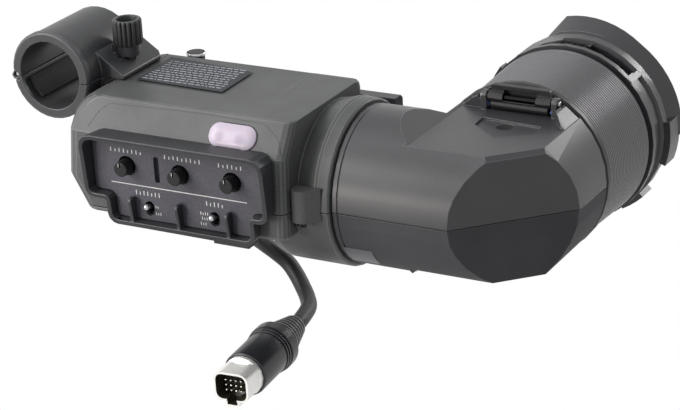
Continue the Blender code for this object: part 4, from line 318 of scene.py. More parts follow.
def finished(name, mesh, finish, body, sharp, replace):
    """Object of a mesh whose doubles are merged and faces point outwards; it rides on its body."""
    bm = bmesh.new()
    bm.from_mesh(mesh)
    bmesh.ops.remove_doubles(bm, verts=bm.verts, dist=1e-6)
    bmesh.ops.recalc_face_normals(bm, faces=bm.faces)
    bm.to_mesh(mesh)
    bm.free()
    mesh.shade_smooth()
    mesh.set_sharp_from_angle(angle=math.radians(sharp))
    mesh.materials.append(finish)
    obj = bpy.data.objects.new(name, mesh)
    bpy.context.scene.collection.objects.link(obj)
    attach(obj, body)
    if replace:
        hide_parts(*replace)
    return obj


def lathe(name, profile, start, way, finish, body, steps, sharp=35, replace=()):
    """Profile of (distance along, radius) turned about a line.

    A point is start + distance * way + radius * (cos a * side + sin a * third).
    """
    surface(name, turned_grid(np.asarray(profile, float), start, way, steps), finish, body, sharp, replace)


def turned_grid(profile, start, way, steps):
    """Points of a profile of (distance along, radius) turned about a line.

    aslant only picks the side where each turn starts.
    """
    aslant = (0.3, 0.5, 0.8)
    way = unit(way)
    side = unit(np.cross(way, aslant))
    third = np.cross(way, side)
    angle = np.linspace(0, 2 * np.pi, steps, endpoint=False)
    spoke = np.cos(angle)[:, None] * side + np.sin(angle)[:, None] * third
    return np.asarray(start) + profile[:, :1, None] * way + profile[:, 1:, None] * spoke[None]


def plate(name, outline, height, place, finish, body):
    """Thin plate over a convex outline of (u, v) points, laid on a face by place(u, v, distance out)."""
    centre = np.repeat(outline.mean(axis=0)[None], len(outline), axis=0)
    levels = ((centre, 0.0), (outline, 0.0), (outline, height), (centre, height))
    grid = np.stack([place(line[:, 0], line[:, 1], np.full(len(line), w)) for line, w in levels])
    surface(name, grid, finish, body)


def ribbon(name, path, width, height, up, finish, body):
    """Thin strip along a path: each section is a low rectangle width across and height along up."""
    up = unit(up)
    across = unit(np.cross(unit(np.gradient(path, axis=0)), up)) * width / 2
    lift = up * height
    grid = np.stack([path + across, path + across + lift, path - across + lift, path - across], axis=1)
    close_ends(surface(name, grid, finish, body, sharp=30).data)


def close_ends(mesh):
    """Faces over the open ends of a strip."""
    bm = bmesh.new()
    bm.from_mesh(mesh)
    open_edges = [edge for edge in bm.edges if len(edge.link_faces) == 1]
    bmesh.ops.holes_fill(bm, edges=open_edges, sides=0)
    bmesh.ops.recalc_face_normals(bm, faces=bm.faces)
    bm.to_mesh(mesh)
    bm.free()


# Solids with edges so close together that their rounding gives way to its neighbours
CLOSE_EDGED = ("latch_block", "plug_shell", "slide_rail", "eyepiece_head")
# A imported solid's points this near are one, and faces within this many degrees are one flat
SAME_POINT, SAME_FLAT = 2e-6, 0.5


def dressed(node, finish, edge, smooth, rim):
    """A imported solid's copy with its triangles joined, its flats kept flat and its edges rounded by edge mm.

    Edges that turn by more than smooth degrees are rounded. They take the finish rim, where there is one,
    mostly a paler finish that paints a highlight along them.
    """
    mesh = frame["nodes"][node].data.copy()
    mesh.materials.clear()
    bm = bmesh.new()
    bm.from_mesh(mesh)
    bmesh.ops.remove_doubles(bm, verts=bm.verts, dist=SAME_POINT)
    bmesh.ops.dissolve_limit(bm, angle_limit=math.radians(SAME_FLAT), verts=bm.verts, edges=bm.edges)
    wide = [face for face in bm.faces if len(face.verts) > 4]
    bmesh.ops.triangulate(bm, faces=wide, ngon_method="BEAUTY")
    bm.to_mesh(mesh)
    bm.free()
    mesh.shade_smooth()
    mesh.set_sharp_from_angle(angle=math.radians(smooth))
    mesh.materials.append(finish)
    if rim:
        mesh.materials.append(rim)
    obj = bpy.data.objects.new(node + "_skin", mesh)
    bpy.context.scene.collection.objects.link(obj)
    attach(obj, body_of(frame["nodes"][node])[0])
    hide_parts(node)
    if edge:
        bevel = obj.modifiers.new("rounded edges", "BEVEL")
        bevel.width = edge * MM
        bevel.segments = 2
        bevel.material = 1 if rim else -1
        bevel.limit_method = "ANGLE"
        bevel.angle_limit = math.radians(smooth)
        bevel.use_clamp_overlap = node in CLOSE_EDGED
        level = obj.modifiers.new("flats kept flat", "WEIGHTED_NORMAL")
        level.keep_sharp = True


# The leaning face over the controls: from its lower edge up to the crest
WAIST = np.array((-0.0385, 0.0204))
CREST = np.array((-0.0304, 0.0328))
FACE_UP = unit(CREST - WAIST)
FACE_OUT = np.array((-FACE_UP[1], FACE_UP[0]))
LAMP_X = (-0.0909, -0.0819)
LAMP_UP = 0.0055
# Plug: the middle of its tail and of its mouth, and the way from one to the other
PLUG_TAIL = np.array((-0.0837, -0.00285, -0.0646))
PLUG_MOUTH = np.array((-0.07935, -0.0594, -0.0651))
PLUG_WAY = unit(PLUG_MOUTH - PLUG_TAIL)
# Grooved sleeve: its ends along the eyepiece, the plain band at each end and the number of grooves
SLEEVE_START, SLEEVE_END, SLEEVE_PLAIN, SLEEVE_GROOVES = 0.03525, 0.07155, 0.0012, 26


def face_points(x, up, out):
    """Points of the leaning face, at x, a height up its slope and a distance out of it."""
    yz = WAIST + np.asarray(up)[..., None] * FACE_UP + np.asarray(out)[..., None] * FACE_OUT
    return placed(np.concatenate([np.asarray(x)[..., None], yz], axis=-1))


make_camera()

# Finishes
# ABS with an eroded grain: even, faintly sparkling dark grey
HOUSING = grained("eroded_ABS_housing", "#414243", "#575859", 0.48, 0.55, 0.06, specular=0.35)
# The same skin on its edges: a paler line along them, a painted highlight where the edges catch the light
HOUSING_EDGE_HIGHLIGHT = grained("painted_highlight_ABS_housing_edge", "#5c5d5e", "#6c6d6e", 0.4, 0.55, 0.02)
# ABS of the holder, from a finer mould: a darker grey with a soft sheen round the tube, and a paler finish on
# its edges that paints a highlight there
HOLDER = grained("satin_ABS_holder", "#333436", "#3f4042", 0.38, 0.5, 0.015, specular=0.4, spread=0.04)
HOLDER_EDGE_HIGHLIGHT = grained("painted_highlight_ABS_holder_edge", "#4c4d50", "#58595c", 0.34, 0.5, 0.01, spread=0.04)
# ABS from a finer mould: smoother, so it carries a soft sheen along the barrel
BARREL = grained("satin_ABS_barrel", "#353538", "#3e3e41", 0.36, 0.45, 0.012, specular=0.45, spread=0.04)
# Its edges: a paler finish, a painted highlight where they catch the light
BARREL_EDGE_HIGHLIGHT = grained(
    "painted_highlight_ABS_barrel_edge", "#515155", "#5e5e62", 0.3, 0.45, 0.005, specular=0.45, spread=0.04
)
# ABS of the elbow's lower half: a paler grey but dull, so the sheen ends at the parting line
UNDERSIDE = grained("dull_ABS_lower_half", "#424245", "#4b4b4e", 0.66, 0.45, 0.02, specular=0.14, spread=0.04)
# ABS of the hinge frame and flange: nearly black, with small soft lights
HINGE_BLACK = grained("black_ABS_hinge", "#19191b", "#222224", 0.4, 0.5, 0.01, spread=0.04)
# ABS rim of the control bay: blacker than the housing, with its edges a little paler, a painted highlight
GUARD = grained("rubbed_ABS_guard", "#26272a", "#36373a", 0.48, 0.5, 0.03)
GUARD_EDGE_HIGHLIGHT = grained("painted_highlight_ABS_guard_edge", "#3f4043", "#4c4d50", 0.38, 0.5, 0.01)
# Painted sheet: bluish grey with a fine metallic speck
PANEL = grained("speckled_paint_panel", "#424148", "#5a5961", 0.48, 0.5, 0.02, patch=60)
# Moulded black nylon: dull and deep
BLACK = grained("moulded_black_nylon", "#101012", "#1a1a1c", 0.42, 0.5, 0.015)
# Fine moulded grooves, glossy enough to draw a bright line on each crest, with painted shade in the valleys
# and a painted highlight on the crests
SLEEVE = sleeve_finish()
# Soft sheathing: black with a broad, weak sheen
RUBBER = grained("cable_rubber", "#0b0b0c", "#121213", 0.5, 0.8, 0.01, specular=0.45, spread=0.04)
# Softer rubber of the holder's pads: black and quite dull
PAD = grained("pad_rubber", "#131314", "#1d1d1e", 0.7, 0.6, 0.04)
# Turned steel of levers, screws and the stop's rim: small bright points
STEEL = brushed("turned_steel", "#b9babc", 0.3)
# Steel blackened by oxide: dark with a metal's edge to its lights
BLACK_STEEL = brushed("black_oxide_steel", "#2a2a2c", 0.3)
# Anodised aluminium: black and silky, a little glossier than the mouldings round it
RAIL = grained("anodised_aluminium_rail", "#303134", "#3e3f42", 0.42, 0.4, 0.01, specular=0.5)
# Nickel over the plug's shell: nearly white, the brightest piece
NICKEL = plug_shell_finish()
# The hinge's pin: bright tips on a dark bar
HINGE_PIN = hinge_pin_finish()
# Tinned contacts: pale warm points in the dark mouth
PIN = brushed("tinned_contact_pins", "#d9d6cc", 0.25)
# Inside, out of sight: copper winding and green board
COPPER = brushed("enamelled_copper_winding", "#8a4a2a", 0.4)
BOARD = flat_finish("fibreglass_board", "#1f4a31", 0.45, 0.1)
# Screen ink: even, dull white
WHITE = flat_finish("white_screen_ink", "#cfcfd0", 0.5, 0.05)
# Foil label: blue-black, a little smoother than the housing, and its worn grey print
FOIL = flat_finish("black_foil_label", "#24262b", 0.5, 0.06, 0.8, Specular_IOR_Level=0.25)
FADED = flat_finish("faded_grey_ink", "#a9abb3", 0.5, 0.05)
# Dull foil low on the barrel
PATCH = flat_finish("dull_foil_patch", "#48484e", 0.4, 0.05, 0.6)
# Nylon of the holder's screw: dark grey, softly lit on each rib
SCREW = grained("moulded_screw_nylon", "#333436", "#414244", 0.4, 0.5, 0.015, specular=0.35)
# Vinyl moulded over the plug: smooth and bluish black, with a clear light down its side
PLUG = grained("moulded_plug_vinyl", "#222327", "#2a2b30", 0.32, 0.8, 0.004, specular=0.5, spread=0.02)
# Insert at the bottom of the plug's mouth: dark olive
CAVITY = flat_finish("dark_olive_insert", "#29271e", 0.5, 0.05)
# Shadowed line of the bead on the leaning face
SHADE = flat_finish("shadowed_groove_ABS", "#2a2a2c", 0.6, 0.05)
# Coated glass: clear, with a blue cast in its reflections
LENS = flat_finish(
    "coated_optical_glass", "#dfe6ee", 0.03, 0.01, 4.0, Transmission_Weight=1.0, IOR=1.52, Coat_Weight=0.4,
    Coat_Tint=linear("#9fb4e8"),
)
# Inside, out of sight or nearly: the lamps' glass, the picture tube's and the mirror
LAMP_GLASS = flat_finish("lamp_glass", "#f3e6dc", 0.08, 0.02, 2.0, Transmission_Weight=0.6, IOR=1.5)
TUBE_GLASS = flat_finish("picture_tube_glass", "#59625f", 0.12, 0.02, 4.0)
MIRROR = flat_finish("front_silvered_mirror", "#dfe2e4", 0.04, 0.01, 6.0, Metallic=1.0)
# Acrylic over the lamps: milky pink, with two duller discs
WINDOW = lamp_window_finish()


# Pieces that take the solid's own shape: their nodes, finish and the width of their rounded edges in mm
SKINS = (
    (("housing_upper", "housing_lower"), HOUSING, 0.3),
    (("latch_block",), HOUSING, 0.5),
    (("holder_base",), HOLDER, 0.3),
    (("holder_lid",), HOLDER, 0.35),
    (("elbow_upper",), BARREL, 0.15),
    (("elbow_lower",), UNDERSIDE, 0.15),
    (("eyepiece_flange",), HINGE_BLACK, 0.25),
    (("eyepiece_head",), BARREL, 0.3),
    (("control_guard",), GUARD, 0.35),
    (("control_panel",), PANEL, 0.12),
    (("knob_1", "knob_2", "knob_3"), BLACK, 0.12),
    (("stop_knob",), BLACK, 0.15),
    (("slide_rail",), RAIL, 0.3),
    (("focus_ring",), BLACK, 0.15),
    (("hinge_frame",), HINGE_BLACK, 0.2),
    (("plug_shell",), NICKEL, 0.15),
    (("cable_gland",), RUBBER, 0.3),
    (("plug_insert",), CAVITY, 0.1),
    (("eyecup_ring",), BLACK_STEEL, 0.2),
    (("lens_cell", "lens_retainer"), BLACK, 0.2),
    (("holder_pad_1", "holder_pad_2", "holder_pad_3"), PAD, 0.3),
    (("holder_pin",), STEEL, 0.1),
    (("hinge_pin",), HINGE_PIN, 0.15),
    (("display_lever", "tally_lever", "swivel_ring"), STEEL, 0.0),
    (("latch_screw_1", "latch_screw_2"), BLACK_STEEL, 0.0),
    (("rail_screw_1", "rail_screw_2"), STEEL, 0.1),
    (("display_switch", "tally_switch", "potentiometer_1", "potentiometer_2", "potentiometer_3"), BLACK, 0.1),
    (("picture_tube",), TUBE_GLASS, 0.0),
    (("tube_ring", "tube_socket", "mirror_carrier"), BLACK, 0.0),
    (("deflection_yoke",), COPPER, 0.0),
    (("main_board", "tally_board"), BOARD, 0.0),
    (("tally_lamp_left", "tally_lamp_right"), LAMP_GLASS, 0.0),
    (("mirror",), MIRROR, 0.0),
    (("eye_lens", "field_lens"), LENS, 0.0),
)
# Large mouldings: the finish of their edges, mostly a paler one that paints a highlight there, and the angle
# from which an edge counts as one
RIMS = {
    "housing_upper": (HOUSING_EDGE_HIGHLIGHT, 14),
    "housing_lower": (HOUSING_EDGE_HIGHLIGHT, 14),
    "elbow_upper": (BARREL_EDGE_HIGHLIGHT, 17),
    "elbow_lower": (BARREL, 17),
    "eyepiece_head": (BARREL_EDGE_HIGHLIGHT, 17),
    "control_guard": (GUARD_EDGE_HIGHLIGHT, 20),
    "holder_base": (HOLDER_EDGE_HIGHLIGHT, 20),
    "holder_lid": (HOLDER_EDGE_HIGHLIGHT, 20),
}
PLAIN_ANGLE = 33
for nodes, finish, edge in SKINS:
    for node in nodes:
        rim, angle = RIMS.get(node, (None, PLAIN_ANGLE))
        dressed(node, finish, edge, angle, rim)


# Grooved sleeve
def make_sleeve():
    """Sleeve turned with fine grooves: radius = taper(share) - depth * (1 - |sin(pi grooves share)|) ** 1.6.

    The taper runs evenly from foot to outer.
    """
    foot, outer, bore, depth, lip, rows_each = 0.034, 0.03535, 0.0318, 0.00055, 0.0003, 12
    share = np.linspace(0, 1, SLEEVE_GROOVES * rows_each + 1)
    along = SLEEVE_START + SLEEVE_PLAIN + (SLEEVE_END - SLEEVE_START - 2 * SLEEVE_PLAIN) * share
    valley = (1 - np.abs(np.sin(np.pi * SLEEVE_GROOVES * share))) ** 1.6
    radius = foot + (outer - foot) * share - depth * valley
    start = [(SLEEVE_START, bore), (SLEEVE_START, foot - lip), (SLEEVE_START + lip, foot)]
    end = [(SLEEVE_END - lip, outer), (SLEEVE_END, outer - lip), (SLEEVE_END, bore), (SLEEVE_START, bore)]
    profile = np.concatenate([start, np.stack([along, radius], axis=1), end])
    centre = placed((0, 0, 0))
    lathe("grooved_sleeve", profile, centre, (0, 1, 0), SLEEVE, "eyepiece", 144, 50, ("eyepiece_grip",))


make_sleeve()


# Cable
CABLE_RADIUS = 0.0033
CABLE_POINTS = (
    (-0.10982, 0.0, -0.02033),
    (-0.1124, 0.00845, -0.02945),
    (-0.1142, 0.01795, -0.03875),
    (-0.11315, 0.0247, -0.0453),
    (-0.10955, 0.0284, -0.05045),
    (-0.10505, 0.02965, -0.0547),
    (-0.1006, 0.0283, -0.0588),
    (-0.09605, 0.0251, -0.06215),
    (-0.0914, 0.0205, -0.0644),
    (-0.0872, 0.0136, -0.0649),
)


def smooth_path(points, count):
    """Even points on a curve through given ones, and its length.

    Between b and c, with a before and d after, a point is b + ((c - a) t + (2a - 5b + 4c - d) t^2 +
    (3b - a - 3c + d) t^3) / 2.
    """
    points = np.asarray(points, float)
    ends = np.concatenate([[2 * points[0] - points[1]], points, [2 * points[-1] - points[-2]]])
    t = np.linspace(0, 1, 24, endpoint=False)[:, None]
    pieces = []
    for a, b, c, d in zip(ends, ends[1:], ends[2:], ends[3:]):
        pull = (c - a) * t + (2 * a - 5 * b + 4 * c - d) * t**2 + (3 * b - a - 3 * c + d) * t**3
        pieces.append(b + pull / 2)
    dense = np.concatenate([*pieces, points[-1:]])
    length = np.concatenate([[0], np.cumsum(np.linalg.norm(np.diff(dense, axis=0), axis=1))])
    even = np.linspace(0, length[-1], count)
    return np.stack([np.interp(even, length, dense[:, k]) for k in range(3)], axis=1), length[-1]


def tube_along(path, radius, steps):
    """Rings of radius round each point of a path, carried without twist, and a pole at each end.

    A point is path + radius * (cos a * side + sin a * third).
    """
    aslant = (0.2, 0.4, 0.9)
    ahead = unit(np.gradient(path, axis=0))
    side = np.zeros_like(path)
    side[0] = unit(np.cross(ahead[0], aslant))
    for row in range(1, len(path)):
        side[row] = unit(side[row - 1] - ahead[row] * (side[row - 1] @ ahead[row]))
    third = np.cross(ahead, side)
    angle = np.linspace(0, 2 * np.pi, steps, endpoint=False)[None, :, None]
    rings = path[:, None] + radius * (np.cos(angle) * side[:, None] + np.sin(angle) * third[:, None])
    first = np.repeat(path[:1, None], steps, axis=1)
    last = np.repeat(path[-1:, None], steps, axis=1)
    return np.concatenate([first, rings, last])


def make_cable():
    """Sheathed cable that hangs from its gland, bends back under the housing and comes forward to the plug.

    It is straight over its last lead and ends a gap short of the plug.
    """
    gap, lead, rings, steps = 0.0003, 0.0042, 60, 24
    points = [*CABLE_POINTS, PLUG_TAIL - PLUG_WAY * (lead + gap), PLUG_TAIL - PLUG_WAY * gap]
    path, length = smooth_path(placed(points), rings)
    tube = tube_along(path, CABLE_RADIUS, steps)
    cable = surface("hanging_cable", tube, RUBBER, "housing", sharp=60, replace=("cable",))


# Pins in the plug
def make_pins():
    """Three rows of four pins that stand in the insert: radius = r * sqrt(1 - t * t) over the domed tip."""
    side = unit(np.cross((0, 0, 1), PLUG_WAY))
    top = np.cross(PLUG_WAY, side)
    pitch, radius, root, tip = 0.0021, 0.00042, 0.0492, 0.0549
    t = np.linspace(0, 1, 5)
    dome = np.stack([tip - radius + radius * t, radius * np.sqrt(1 - t * t)], axis=1)
    profile = np.concatenate([[(root, 0.0), (root, radius)], dome])
    grids = []
    for row in (-1, 0, 1):
        for column in (-1.5, -0.5, 0.5, 1.5):
            start = placed(PLUG_TAIL) + (side * column + top * row) * pitch
            grids.append(turned_grid(profile, start, PLUG_WAY, 12))
    several("contact_pin_array", grids, PIN, "housing", replace=("contact_pins",))


# Plug's body and boot
def make_plug_body():
    """Turned body: a wide collar, two thin ridges between grooves, and a plain barrel down to the shell.

    The profile gives each corner's distance from the tail and its radius.
    """
    collar = [(0.01645, 0.0), (0.01645, 0.0078), (0.01715, 0.0082), (0.018, 0.0096), (0.0184, 0.00985),
              (0.0228, 0.00985), (0.0232, 0.0096), (0.0233, 0.009)]
    ridges = [(0.0239, 0.009), (0.024, 0.0095), (0.0247, 0.0095), (0.0248, 0.0089),
              (0.0254, 0.0089), (0.0255, 0.0093), (0.0262, 0.0093), (0.0263, 0.0087)]
    barrel = [(0.0267, 0.0087), (0.0269, 0.00895), (0.0444, 0.00895), (0.045, 0.00875), (0.0452, 0.0083),
              (0.0452, 0.0)]
    profile = collar + ridges + barrel
    lathe("turned_plug_body", profile, placed(PLUG_TAIL), PLUG_WAY, PLUG, "housing", 72, 30, ("plug_body",))


def make_boot():
    """Boot of six rounded rings: radius = taper(share) - depth * (1 - |sin(6 pi share)|) ** 2.5.

    The taper runs evenly from foot to top.
    """
    start, end, foot, top, depth, rings, rows_each = 0.0006, 0.0158, 0.0046, 0.0081, 0.0011, 6, 16
    share = np.linspace(0, 1, rings * rows_each + 1)
    along = start + (end - start) * share
    radius = foot + (top - foot) * share - depth * (1 - np.abs(np.sin(np.pi * rings * share))) ** 2.5
    tail, seat = [(0.0, 0.0), (0.0, 0.0034)], [(0.01615, 0.0068), (0.01615, 0.0)]
    profile = np.concatenate([tail, np.stack([along, radius], axis=1), seat])
    lathe("ribbed_boot", profile, placed(PLUG_TAIL), PLUG_WAY, PLUG, "housing", 64, 40, ("strain_relief",))


make_pins()
make_plug_body()
make_boot()
make_cable()


# Screw of the microphone holder
def make_thumbscrew():
    """Screw with rounded ribs: radius = base - share * depth * (1 - |sin(9 angle)|) ** 1.4.

    Each row is (height, base, share): the share is 1 on the head's outside and fades out at its rims.
    """
    centre = placed((-0.1539, 0.00095, 0.0))
    depth, half_ribs, steps = 0.0009, 9, 216
    shank = [(0.02985, 0.0, 0), (0.02985, 0.0018, 0), (0.0385, 0.0018, 0)]
    neck = [(0.0385, 0.0043, 0), (0.03875, 0.00455, 0), (0.04295, 0.00455, 0)]
    head = [(0.04295, 0.0052, 0.3), (0.0432, 0.00565, 0.8), (0.0436, 0.0059, 1), (0.0522, 0.0059, 1),
            (0.0527, 0.0058, 0.9), (0.05295, 0.0056, 0.6), (0.0531, 0.0052, 0.1)]
    hollow = [(0.0531, 0.0044, 0), (0.053, 0.0042, 0), (0.0528, 0.0041, 0), (0.04745, 0.0041, 0),
              (0.0474, 0.004, 0), (0.0474, 0.0, 0)]
    height, base, share = np.array(shank + neck + head + hollow).T
    angle = np.linspace(0, 2 * np.pi, steps, endpoint=False)
    valley = (1 - np.abs(np.sin(half_ribs * angle))) ** 1.4
    radius = base[:, None] - depth * share[:, None] * valley[None]
    level = np.repeat(height[:, None], steps, axis=1)
    grid = np.stack([radius * np.cos(angle), radius * np.sin(angle), level], axis=-1)
    surface("ribbed_thumbscrew", grid + centre, SCREW, "screw", sharp=40, replace=("thumbscrew",))


make_thumbscrew()


# Lamp window
def make_lamp_window():
    """Crowned window: height = rise + (crown - rise) * (1 - (1 - s) ** 3), with a flange inside the wall.

    s runs from 0 at the window's outline to 1 at its middle line, the spine.
    """
    left, right, low, high, radius = -0.09595, -0.0759, 0.0019, 0.0112, 0.0044
    rise, crown, flange, inner, short = 0.0006, 0.00175, 0.00115, -0.0033, 0.001
    corners = ((right - radius, high - radius, 0), (left + radius, high - radius, 90),
               (left + radius, low + radius, 180), (right - radius, low + radius, 270))
    outline = np.array(
        [(x + radius * math.cos(math.radians(a)), u + radius * math.sin(math.radians(a)))
         for x, u, first in corners for a in np.linspace(first, first + 90, 13)]
    )
    along = np.clip(outline[:, 0], left + radius + short, right - radius - short)
    spine = np.stack([along, np.full(len(outline), (low + high) / 2)], axis=1)
    wider = outline + unit(outline - spine) * flange
    rows = [(spine, inner - flange), (wider, inner - flange), (wider, inner), (outline, inner)]
    rows.append((outline, rise))
    for s in np.linspace(0.04, 1, 14):
        rows.append((outline + (spine - outline) * s, rise + (crown - rise) * (1 - (1 - s) ** 3)))
    grid = np.stack([face_points(line[:, 0], line[:, 1], np.full(len(line), out)) for line, out in rows])
    surface("crowned_lamp_window", grid, WINDOW, "housing", sharp=50, replace=("tally_window",))


make_lamp_window()


# Marks and labels: where the panel, the knobs' faces and the housing's top lie, and the barrel's radius
PANEL_Y = -0.0423
KNOB_FACE_Y = -0.0471
TOP_Z = 0.0328
BARREL_RADIUS = 0.0304


def on_panel(u, v, w):
    """Points on the control panel: x, height, and distance out of it."""
    return placed(np.stack([u, PANEL_Y - w, v], axis=-1))


def on_top(u, v, w):
    """Points on the housing's top: x, y, and height over it."""
    return placed(np.stack([u, v, TOP_Z + w], axis=-1))


def on_barrel(u, v, w):
    """Points on the round barrel: angle in degrees about its axis, x, and distance out of it."""
    angle, radius = np.radians(u), BARREL_RADIUS + w
    return placed(np.stack([v, radius * np.cos(angle), radius * np.sin(angle)], axis=-1))


def on_head(u, v, w):
    """Points on the eyepiece's head: angle in degrees about its axis, distance along it, and radius."""
    angle = np.radians(u)
    return placed(np.stack([w * np.cos(angle), v, w * np.sin(angle)], axis=-1))


def strokes(name, boxes, height, place, finish, body):
    """Raised rectangles (left, low, right, high), each split in six across to follow a curved face."""
    grids = []
    for left, low, right, high in boxes:
        u = np.linspace(left, right, 7)
        section = [(low, 0.0), (low, height), (high, height), (high, 0.0)]
        rings = [np.stack([place(x, v, w) for v, w in section]) for x in u]
        ends = [np.repeat(ring.mean(axis=0)[None], 4, axis=0) for ring in (rings[0], rings[-1])]
        grids.append(np.stack([ends[0], *rings, ends[1]]))
    several(name, grids, finish, body)


def tick_row(left, low, count, pitch, width, height):
    """Upright ticks in a row, every third a little shorter, which stand where a word would be printed."""
    shorter = 0.72
    starts = [left + i * pitch for i in range(count)]
    tops = [low + height * (shorter if i % 3 == 1 else 1) for i in range(count)]
    return [(start, low, start + width, top) for start, top in zip(starts, tops)]


def make_panel_marks():
    """White line across the panel, tick rows over the controls and tick marks beside the levers."""
    ink = 0.00004
    boxes = [(-0.1371, 0.00335, -0.0773, 0.0037)]
    for left, count in ((-0.1363, 8), (-0.1122, 9), (-0.0886, 6)):
        boxes += tick_row(left, 0.0161, count, 0.0019, 0.0004, 0.0016)
    for left, count in ((-0.1263, 7), (-0.0951, 5)):
        boxes += tick_row(left, -0.0002, count, 0.0017, 0.00035, 0.0018)
    beside_display = ((-0.118, -0.0048, 2), (-0.118, -0.0075, 3))
    beside_tally = ((-0.098, -0.0042, 4), (-0.0974, -0.0062, 3), (-0.0981, -0.0084, 3))
    for left, low, count in beside_display + beside_tally:
        boxes += tick_row(left, low, count, 0.001, 0.0003, 0.0012)
    strokes("panel_print", boxes, ink, on_panel, WHITE, "housing")


def make_knob_pointers():
    """White line in each knob's notch, on the face."""
    line, ink = (-0.00072, 0.0011, -0.0005, 0.00255), 0.00005
    middles = {
        "left_knob": (-0.1294, 0.0109),
        "middle_knob": (-0.10575, 0.01055),
        "right_knob": (-0.0831, 0.01085),
    }
    for number, (body, (x, z)) in enumerate(middles.items(), 1):
        def on_knob(u, v, w, x=x, z=z):
            return placed(np.stack([x + u, np.full_like(u, KNOB_FACE_Y - w), z + v], axis=-1))
        strokes(f"knob_pointer_{number}", [line], ink, on_knob, WHITE, body)


def make_labels():
    """Black foil on the housing's top with rows of fine dashes, and a bare patch low on the barrel.

    A dash is 0.6 mm plus up to 2.2 mm long, by |sin| of its place and row.
    """
    outline = np.array(((-0.1441, -0.0098), (-0.1047, -0.0108), (-0.1053, 0.0133), (-0.1457, 0.018)))
    plate("top_foil", outline, 0.00003, on_top, FOIL, "housing")
    row_start, last_start, row_end, first_row, row_pitch = -0.1431, -0.1085, -0.1068, 0.0131, 0.0023
    gap, shortest, longer, tall, ink = 0.0006, 0.0006, 0.0022, 0.00055, 0.00009
    boxes = []
    for row in range(10):
        left, low = row_start, first_row - row * row_pitch
        while left < last_start:
            long = shortest + longer * abs(math.sin(left * 9000 + row * 2.3))
            boxes.append((left, low, min(left + long, row_end), low + tall))
            left += long + gap
    strokes("foil_dashes", boxes, ink, on_top, FADED, "housing")
    patch = (-149.0, -0.0470, -128.0, -0.0350)
    strokes("barrel_patch", [patch], 0.00005, on_barrel, PATCH, "elbow")


def make_face_outline():
    """Fine bead round the bare name space on the leaning face: straight between given corners."""
    width, height, count = 0.00022, 0.00005, 60
    corners = np.array(((-0.1493, 0.0024), (-0.1457, 0.0093), (-0.142, 0.01235), (-0.102, 0.0135),
                        (-0.0738, 0.0129), (-0.0666, 0.0078), (-0.0647, 0.002)))
    share = np.linspace(0, len(corners) - 1, count)
    line = np.stack([np.interp(share, np.arange(len(corners)), corners[:, k]) for k in (0, 1)], axis=1)
    path = face_points(line[:, 0], line[:, 1], np.zeros(count))
    ribbon("face_bead", path, width, height, (0, *FACE_OUT), SHADE, "housing")


def make_head_marks():
    """Fine ribs on the focus ring's tab and a raised bead on the head over it."""
    tab, rib, rib_angle, rib_pitch = 0.0365, 0.0003, 0.5, 1.1
    ribs = [(angle, 0.0781, angle + rib_angle, 0.082) for angle in np.arange(78.0, 96.0, rib_pitch)]
    strokes("focus_tab_ribs", ribs, rib, lambda u, v, w: on_head(u, v, tab + w), HINGE_BLACK, "focus")
    head, bead = 0.0367 - 0.0002, 0.0005
    beads = [(76.0, 0.0898, 92.0, 0.0903), (92.0, 0.0898, 107.0, 0.0903)]
    # The bead takes the barrel's paler edge finish, a painted highlight along it
    strokes("head_bead", beads, bead, lambda u, v, w: on_head(u, v, head + w), BARREL_EDGE_HIGHLIGHT, "eyepiece")


def make_dimple_shade():
    """Dark disc in the thumb dimple of the pocket on the elbow's flat, painted shade where the dimple lies in
    shadow: height = floor + dish * (radius / rim) ** 2.
    """
    base, floor, rim, dish = 0.02322, 0.02332, 0.0031, 0.0003
    share = np.linspace(1, 0, 8)
    bowl = np.stack([floor + dish * share**2, rim * share], axis=1)
    profile = np.concatenate([[(base, 0.0), (base, rim)], bowl])
    centre = placed((0.0015, 0.01465, 0.0))
    lathe("dimple_painted_shade_disc", profile, centre, (0, 0, 1), HINGE_BLACK, "elbow", 40)


def make_rear_web():
    """Flat web of the housing behind the tube's neck, from the rear wall to a slot beside the drum."""
    left, right, low, high, inner, thick = 0.0203, 0.0346, -0.0186, -0.0046, -0.0078, 0.001
    outline = np.array(((left, low), (right, low), (right, high), (left, high)))

    def on_rear(u, v, w):
        return np.stack([u, inner + w, v], axis=-1)

    plate("rear_web", outline, thick, on_rear, HOUSING, "housing")


def make_stop_rim():
    """Bright ring pressed round the top of the stop knob."""
    low, high, outer, inner, bevel = 0.0311, 0.03225, 0.00385, 0.0036, 0.0002
    outside = [(low, inner), (low, outer), (high - bevel, outer), (high, outer - bevel)]
    profile = outside + [(high, inner), (low, inner)]
    lathe("stop_knob_rim", profile, placed((-0.1406, 0.02795, 0.0)), (0, 0, 1), STEEL, "stop", 48, 50)


make_panel_marks()
make_knob_pointers()
make_labels()
make_face_outline()
make_head_marks()
make_dimple_shade()
make_rear_web()
make_stop_rim()


# Light and surroundings
def area_light(name, way, distance, size, power, colour):
    """Rectangular soft box that looks at the object's middle from a direction, power in watts."""
    target = Vector((0.02, -0.02, -0.02))
    data = bpy.data.lights.new(name, "AREA")
    data.shape = "RECTANGLE"
    data.size, data.size_y = size
    data.energy = power
    data.color = linear(colour)[:3]
    lamp = bpy.data.objects.new(name, data)
    bpy.context.scene.collection.objects.link(lamp)
    lamp.location = target + Vector(way).normalized() * distance
    lamp.rotation_euler = (-Vector(way)).to_track_quat("-Z", "Y").to_euler()


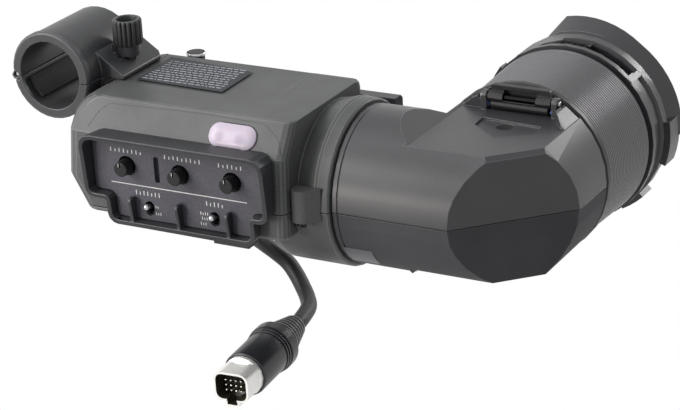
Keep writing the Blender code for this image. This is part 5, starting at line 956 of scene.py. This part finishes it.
def shown(tree, rays):
    """1 for what the eye sees straight, in a gloss or through glass, and 0 for scattered light."""
    total = rays.outputs["Is Camera Ray"]
    for kind in ("Is Glossy Ray", "Is Transmission Ray"):
        total = add(tree, "ShaderNodeMath", {0: total, 1: rays.outputs[kind]}, operation="MAXIMUM").outputs[0]
    return total


def make_surroundings():
    """White studio: four soft boxes, and a world and floor that light less than the white that they show."""
    floor_width, floor_drop = 8, 0.45
    world = bpy.data.worlds.new("studio")
    bpy.context.scene.world = world
    world.use_nodes = True
    tree = world.node_tree
    tree.nodes.clear()
    rays = add(tree, "ShaderNodeLightPath")
    strength = add(tree, "ShaderNodeMapRange", {"Value": shown(tree, rays), "To Min": 0.35, "To Max": 1.0})
    sky = add(tree, "ShaderNodeBackground", {"Color": (1.0, 1.0, 1.0, 1.0), "Strength": strength.outputs[0]})
    add(tree, "ShaderNodeOutputWorld", {"Surface": sky.outputs[0]})

    low = min(corner[2] for corner in CAD_BOX)
    bpy.ops.mesh.primitive_plane_add(size=floor_width, location=(0, 0, low - floor_drop))
    floor = bpy.context.object
    floor.name = "floor"
    paper = bpy.data.materials.new("white_paper_sweep")
    paper.use_nodes = True
    tree = paper.node_tree
    tree.nodes.clear()
    rays = add(tree, "ShaderNodeLightPath")
    plain = add(tree, "ShaderNodeBsdfDiffuse", {"Color": linear("#e8e8e8")})
    white = add(tree, "ShaderNodeEmission", {"Color": (1.0, 1.0, 1.0, 1.0), "Strength": 1.0})
    mixed = add(tree, "ShaderNodeMixShader", {0: shown(tree, rays), 1: plain.outputs[0], 2: white.outputs[0]})
    add(tree, "ShaderNodeOutputMaterial", {"Surface": mixed.outputs[0]})
    floor.data.materials.append(paper)

    # The left one lights the faces and the barrel, the front one the panel, the overhead one the top, and the
    # last one the eyepiece from behind
    area_light("left_box", (-0.68, -0.58, 0.46), 0.9, (0.5, 0.45), 6.6, "#fffefc")
    area_light("front_box", (-0.46, -0.88, 0.08), 0.9, (0.12, 0.2), 2.2, "#fff8f0")
    area_light("overhead_box", (-0.2, -0.2, 1.0), 0.9, (0.8, 0.6), 2.3, "#ffffff")
    area_light("eyepiece_box", (0.38, 0.87, 0.34), 0.9, (0.12, 0.3), 2.2, "#ffffff")
    bpy.context.scene.view_settings.view_transform = "Standard"


make_surroundings()
